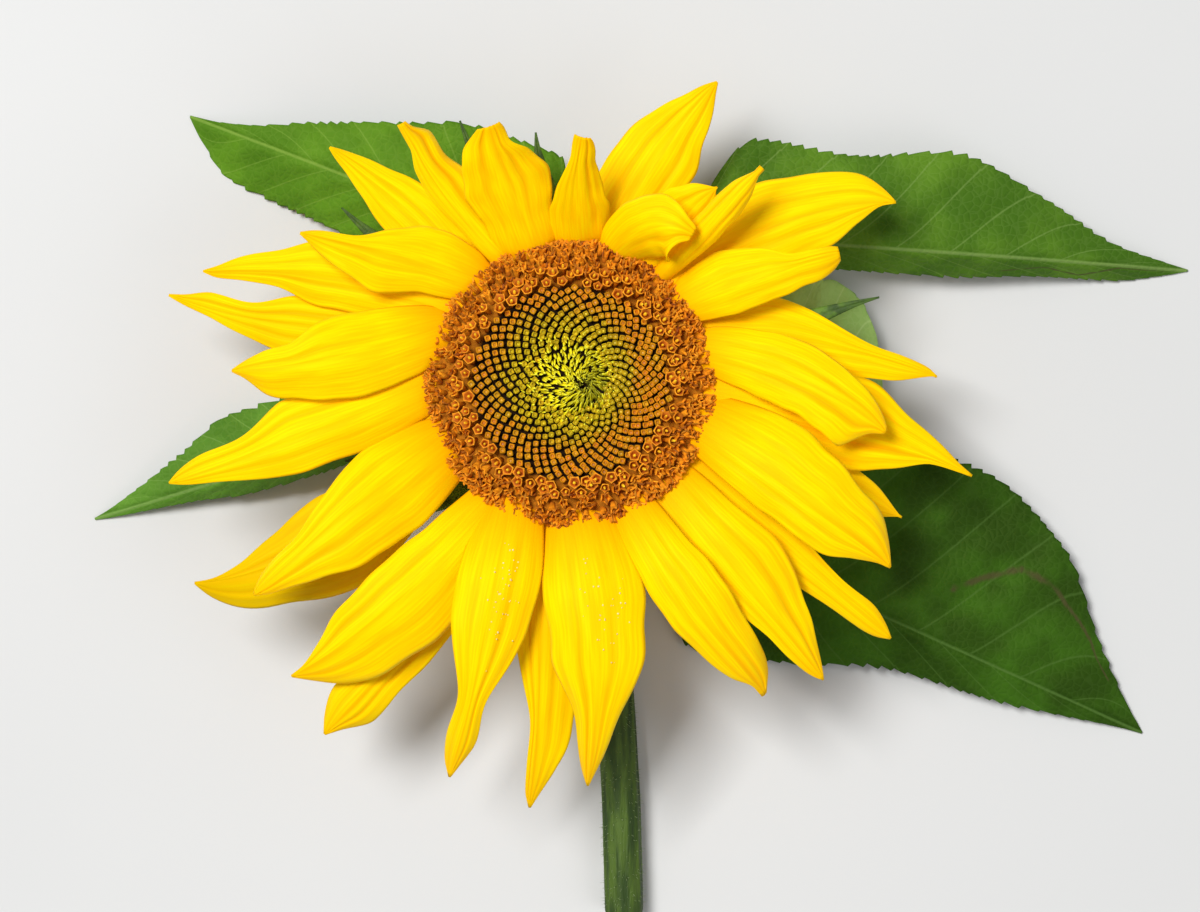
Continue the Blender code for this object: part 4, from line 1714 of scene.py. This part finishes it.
    def make(self) -> None:
        """Build, dress and fasten the four kinds of floret."""
        rng = np.random.default_rng(self.seed)
        tongues, buds = Stamps(tongue_model()), Stamps(bud_model(), smooth=False)
        fresh, spent = Stamps(open_model()), Stamps(spent_model(), smooth=False)
        for spot in self.layout():
            edge = spot.out + rng.normal(0, 0.35)
            lit = 0.5 + 0.5 * math.cos(spot.turn - self.lit_side)
            limit = self.green_to * (0.78 + 0.44 * lit)
            if self.hole < spot.radius < limit:
                self.add_tongues(spot, limit, lit, tongues, rng)
            if limit - 5.0 < spot.radius and edge < self.open_from:
                self.add_bud(spot, limit, buds, rng)
            if self.open_from <= edge < self.spent_from:
                lean = 0.2 + 0.3 * ramp(spot.out, self.open_from, self.spent_from)
                self.add_open(spot, lean, (0.12, 0.14), self.fresh, (0.82, 1.12, 0.85, 1.12),
                              fresh, rng)
            elif edge >= self.spent_from:
                lean = 0.45 + 0.5 * ramp(spot.out, self.spent_from, self.edge)
                self.add_open(spot, lean, (0.22, 0.3), self.spent, (0.75, 1.15, 0.75, 1.1),
                              spent, rng)
        for stamps, name, slot, nodes, finishes in (
                (tongues, "young_bracts", Slot.CENTER, ["green_center"], [GREEN]),
                (buds, "closed_buds", Slot.BUD, ["floret_buds"], [OCHRE]),
                (fresh, "fresh_florets", Slot.OPEN, ["open_florets"], [ORANGE, POLLEN, THROAT]),
                (spent, "spent_florets", Slot.OPEN, [], [RUST, MAROON])):
            claim(stamps.join(name), slot, nodes, *(finish.make() for finish in finishes))


@dataclass
class Receptacle:
    """The green cup under the disc, with the dark floor between the florets."""

    outline: tuple[Pair, ...] = ((7.4, -20), (16, -18.4), (27, -15.4), (35, -11.4),
                                 (38.8, -7.4), (40.5, -3.6))
    top: Pair = (39.5, -3.1)     # radius and height of the cup's flat top
    floor_edge: Pair = (40.2, -3.0)
    steps: int = 30
    floor_steps: int = 40
    sides: int = 120

    def lathe(self, name: str, radii: np.ndarray, heights: np.ndarray) -> bpy.types.Object:
        """Closed turned body on the leaning head.

        Args:
            name: name of the piece.
            radii: radius of each ring, zero at both ends.
            heights: height of each ring.

        Returns:
            The object.
        """
        piece, u, v = new_grid(name, len(radii) - 1, self.sides)
        i = np.rint(u * (len(radii) - 1)).astype(int)
        set_points(piece, on_head(radii[i], (v + 1) * math.pi, heights[i]))
        weld(piece)
        return piece

    def make_cup(self) -> None:
        """Build, dress and fasten the cup."""
        radii, heights = (np.array(c, float) for c in zip(*self.outline))
        t = np.linspace(0, 1, self.steps)
        places = tuple(np.linspace(0, 1, len(radii)))
        radii = np.concatenate([[0], smooth_curve(places, radii, t), [self.top[0], 0]])
        heights = np.concatenate([heights[:1], smooth_curve(places, heights, t),
                                  [self.top[1], self.top[1]]])
        cup = self.lathe("cup", radii, heights)
        set_attribute(cup, "age", np.zeros(len(cup.data.vertices)))
        finish = SkinFinish("receptacle_green", rgba(0.17, 0.3, 0.05),
                            rgba(0.07, 0.14, 0.02), 160.0, 0.5)
        claim(cup, Slot.RECEPTACLE, ["receptacle"], finish.make())

    def make_floor(self, disc: Disc) -> None:
        """Build, dress and fasten the floor between the florets.

        Args:
            disc: the florets that stand on it.
        """
        edge, low = self.floor_edge
        out = np.linspace(0, edge, self.floor_steps)
        floor = self.lathe("floret_floor", np.concatenate([out, [edge, 0]]),
                           np.concatenate([[disc.dome(r) for r in out], [low, low]]))
        points = np.array([v.co for v in floor.data.vertices]) - PLACE.world(np.zeros(3))
        away = np.hypot(points[:, 0], points[:, 1]) / MM
        # painted shade: near-black floor under the buds and the green centre, brown under the open
        # florets
        set_attribute(floor, "rise", ramp(away, disc.open_from - 1, disc.open_from + 2))
        set_attribute(floor, "tint", 1 - ramp(away, 8.0, disc.green_to + 1))
        finish = FloretFinish("floor_brown", rgba(0.015, 0.006, 0.002), rgba(0.34, 0.11, 0.005),
                              rgba(0.42, 0.14, 0.006), rgba(0.12, 0.12, 0.006), 0.9)
        claim(floor, Slot.BUD, [], finish.make())

    def make(self) -> None:
        """Build, dress and fasten the cup and the floor."""
        self.make_cup()
        self.make_floor(Disc())


# ---------------------------------------------------------------- studio

@dataclass(frozen=True)
class Lamp:
    """A soft square lamp aimed at the flower; metres and watts."""

    name: str
    place: Point
    size: float
    power: float

    def make(self) -> None:
        """Hang the lamp."""
        lamp = bpy.data.lights.new(self.name, "AREA")
        lamp.energy, lamp.size = self.power, self.size
        holder = bpy.data.objects.new(self.name, lamp)
        holder.location = self.place
        holder.rotation_euler = (-Vector(self.place)).to_track_quat("-Z", "Y").to_euler()
        bpy.context.scene.collection.objects.link(holder)


@dataclass
class Studio:
    """Pale floor, soft light and a camera that looks down on the face."""

    view_height: float = 1.0      # camera above the face, in metres
    lens: float = 100.0
    aim: Pair = (9.0, -21.9)     # where it looks, in the flower's frame
    floor_size: float = 6.0       # in metres
    shades: tuple[Color, Color] = (rgba(0.64, 0.64, 0.63), rgba(0.67, 0.67, 0.66))
    sky: Color = rgba(0.95, 0.97, 1.0)
    sky_strength: float = 0.25
    lamps: tuple[Lamp, ...] = (Lamp("key", (-1.0, 0.75, 2.5), 1.0, 80.0),
                               Lamp("fill", (1.6, -1.0, 1.8), 1.6, 12.0))

    def make(self) -> None:
        """Set up the floor, the lights and the camera."""
        self.make_floor()
        for lamp in self.lamps:
            lamp.make()
        world = bpy.data.worlds.new("studio")
        world.use_nodes = True
        background = world.node_tree.nodes["Background"].inputs
        background["Color"].default_value = self.sky
        background["Strength"].default_value = self.sky_strength
        bpy.context.scene.world = world
        bpy.context.scene.view_settings.view_transform = "Standard"
        self.make_camera()

    def make_floor(self) -> None:
        """Lay the floor."""
        deselect_all()
        bpy.ops.mesh.primitive_plane_add(size=self.floor_size, location=(0, 0, 0))
        floor = bpy.context.object
        floor.name = "floor"
        paper = Recipe("floor_paper", 0.9)
        tone = paper.step(paper.noise(paper.place(), 3.0), 0.3, 0.7)
        paper.color(paper.mix(tone, *self.shades))
        floor.data.materials.append(paper.material)

    def make_camera(self) -> None:
        """Hang the camera over the face, looking straight down."""
        camera = bpy.data.cameras.new("camera")
        camera.lens = self.lens
        camera.clip_start, camera.clip_end = 0.05, 20.0
        holder = bpy.data.objects.new("camera", camera)
        x, y, z = PLACE.world(np.array([*self.aim, FACE_HEIGHT]))
        holder.location = (x, y, z + self.view_height)
        bpy.context.scene.collection.objects.link(holder)
        bpy.context.scene.camera = holder


def main() -> None:
    """Build the whole flower and its studio."""
    logging.basicConfig(level=logging.INFO, format="%(message)s")
    stem = Stem()
    Studio().make()
    stem.make()
    Receptacle().make()
    Foliage(stem).make()
    Bracts().make()
    RayPetals().make()
    Disc().make()


if __name__ == "__main__":
    main()
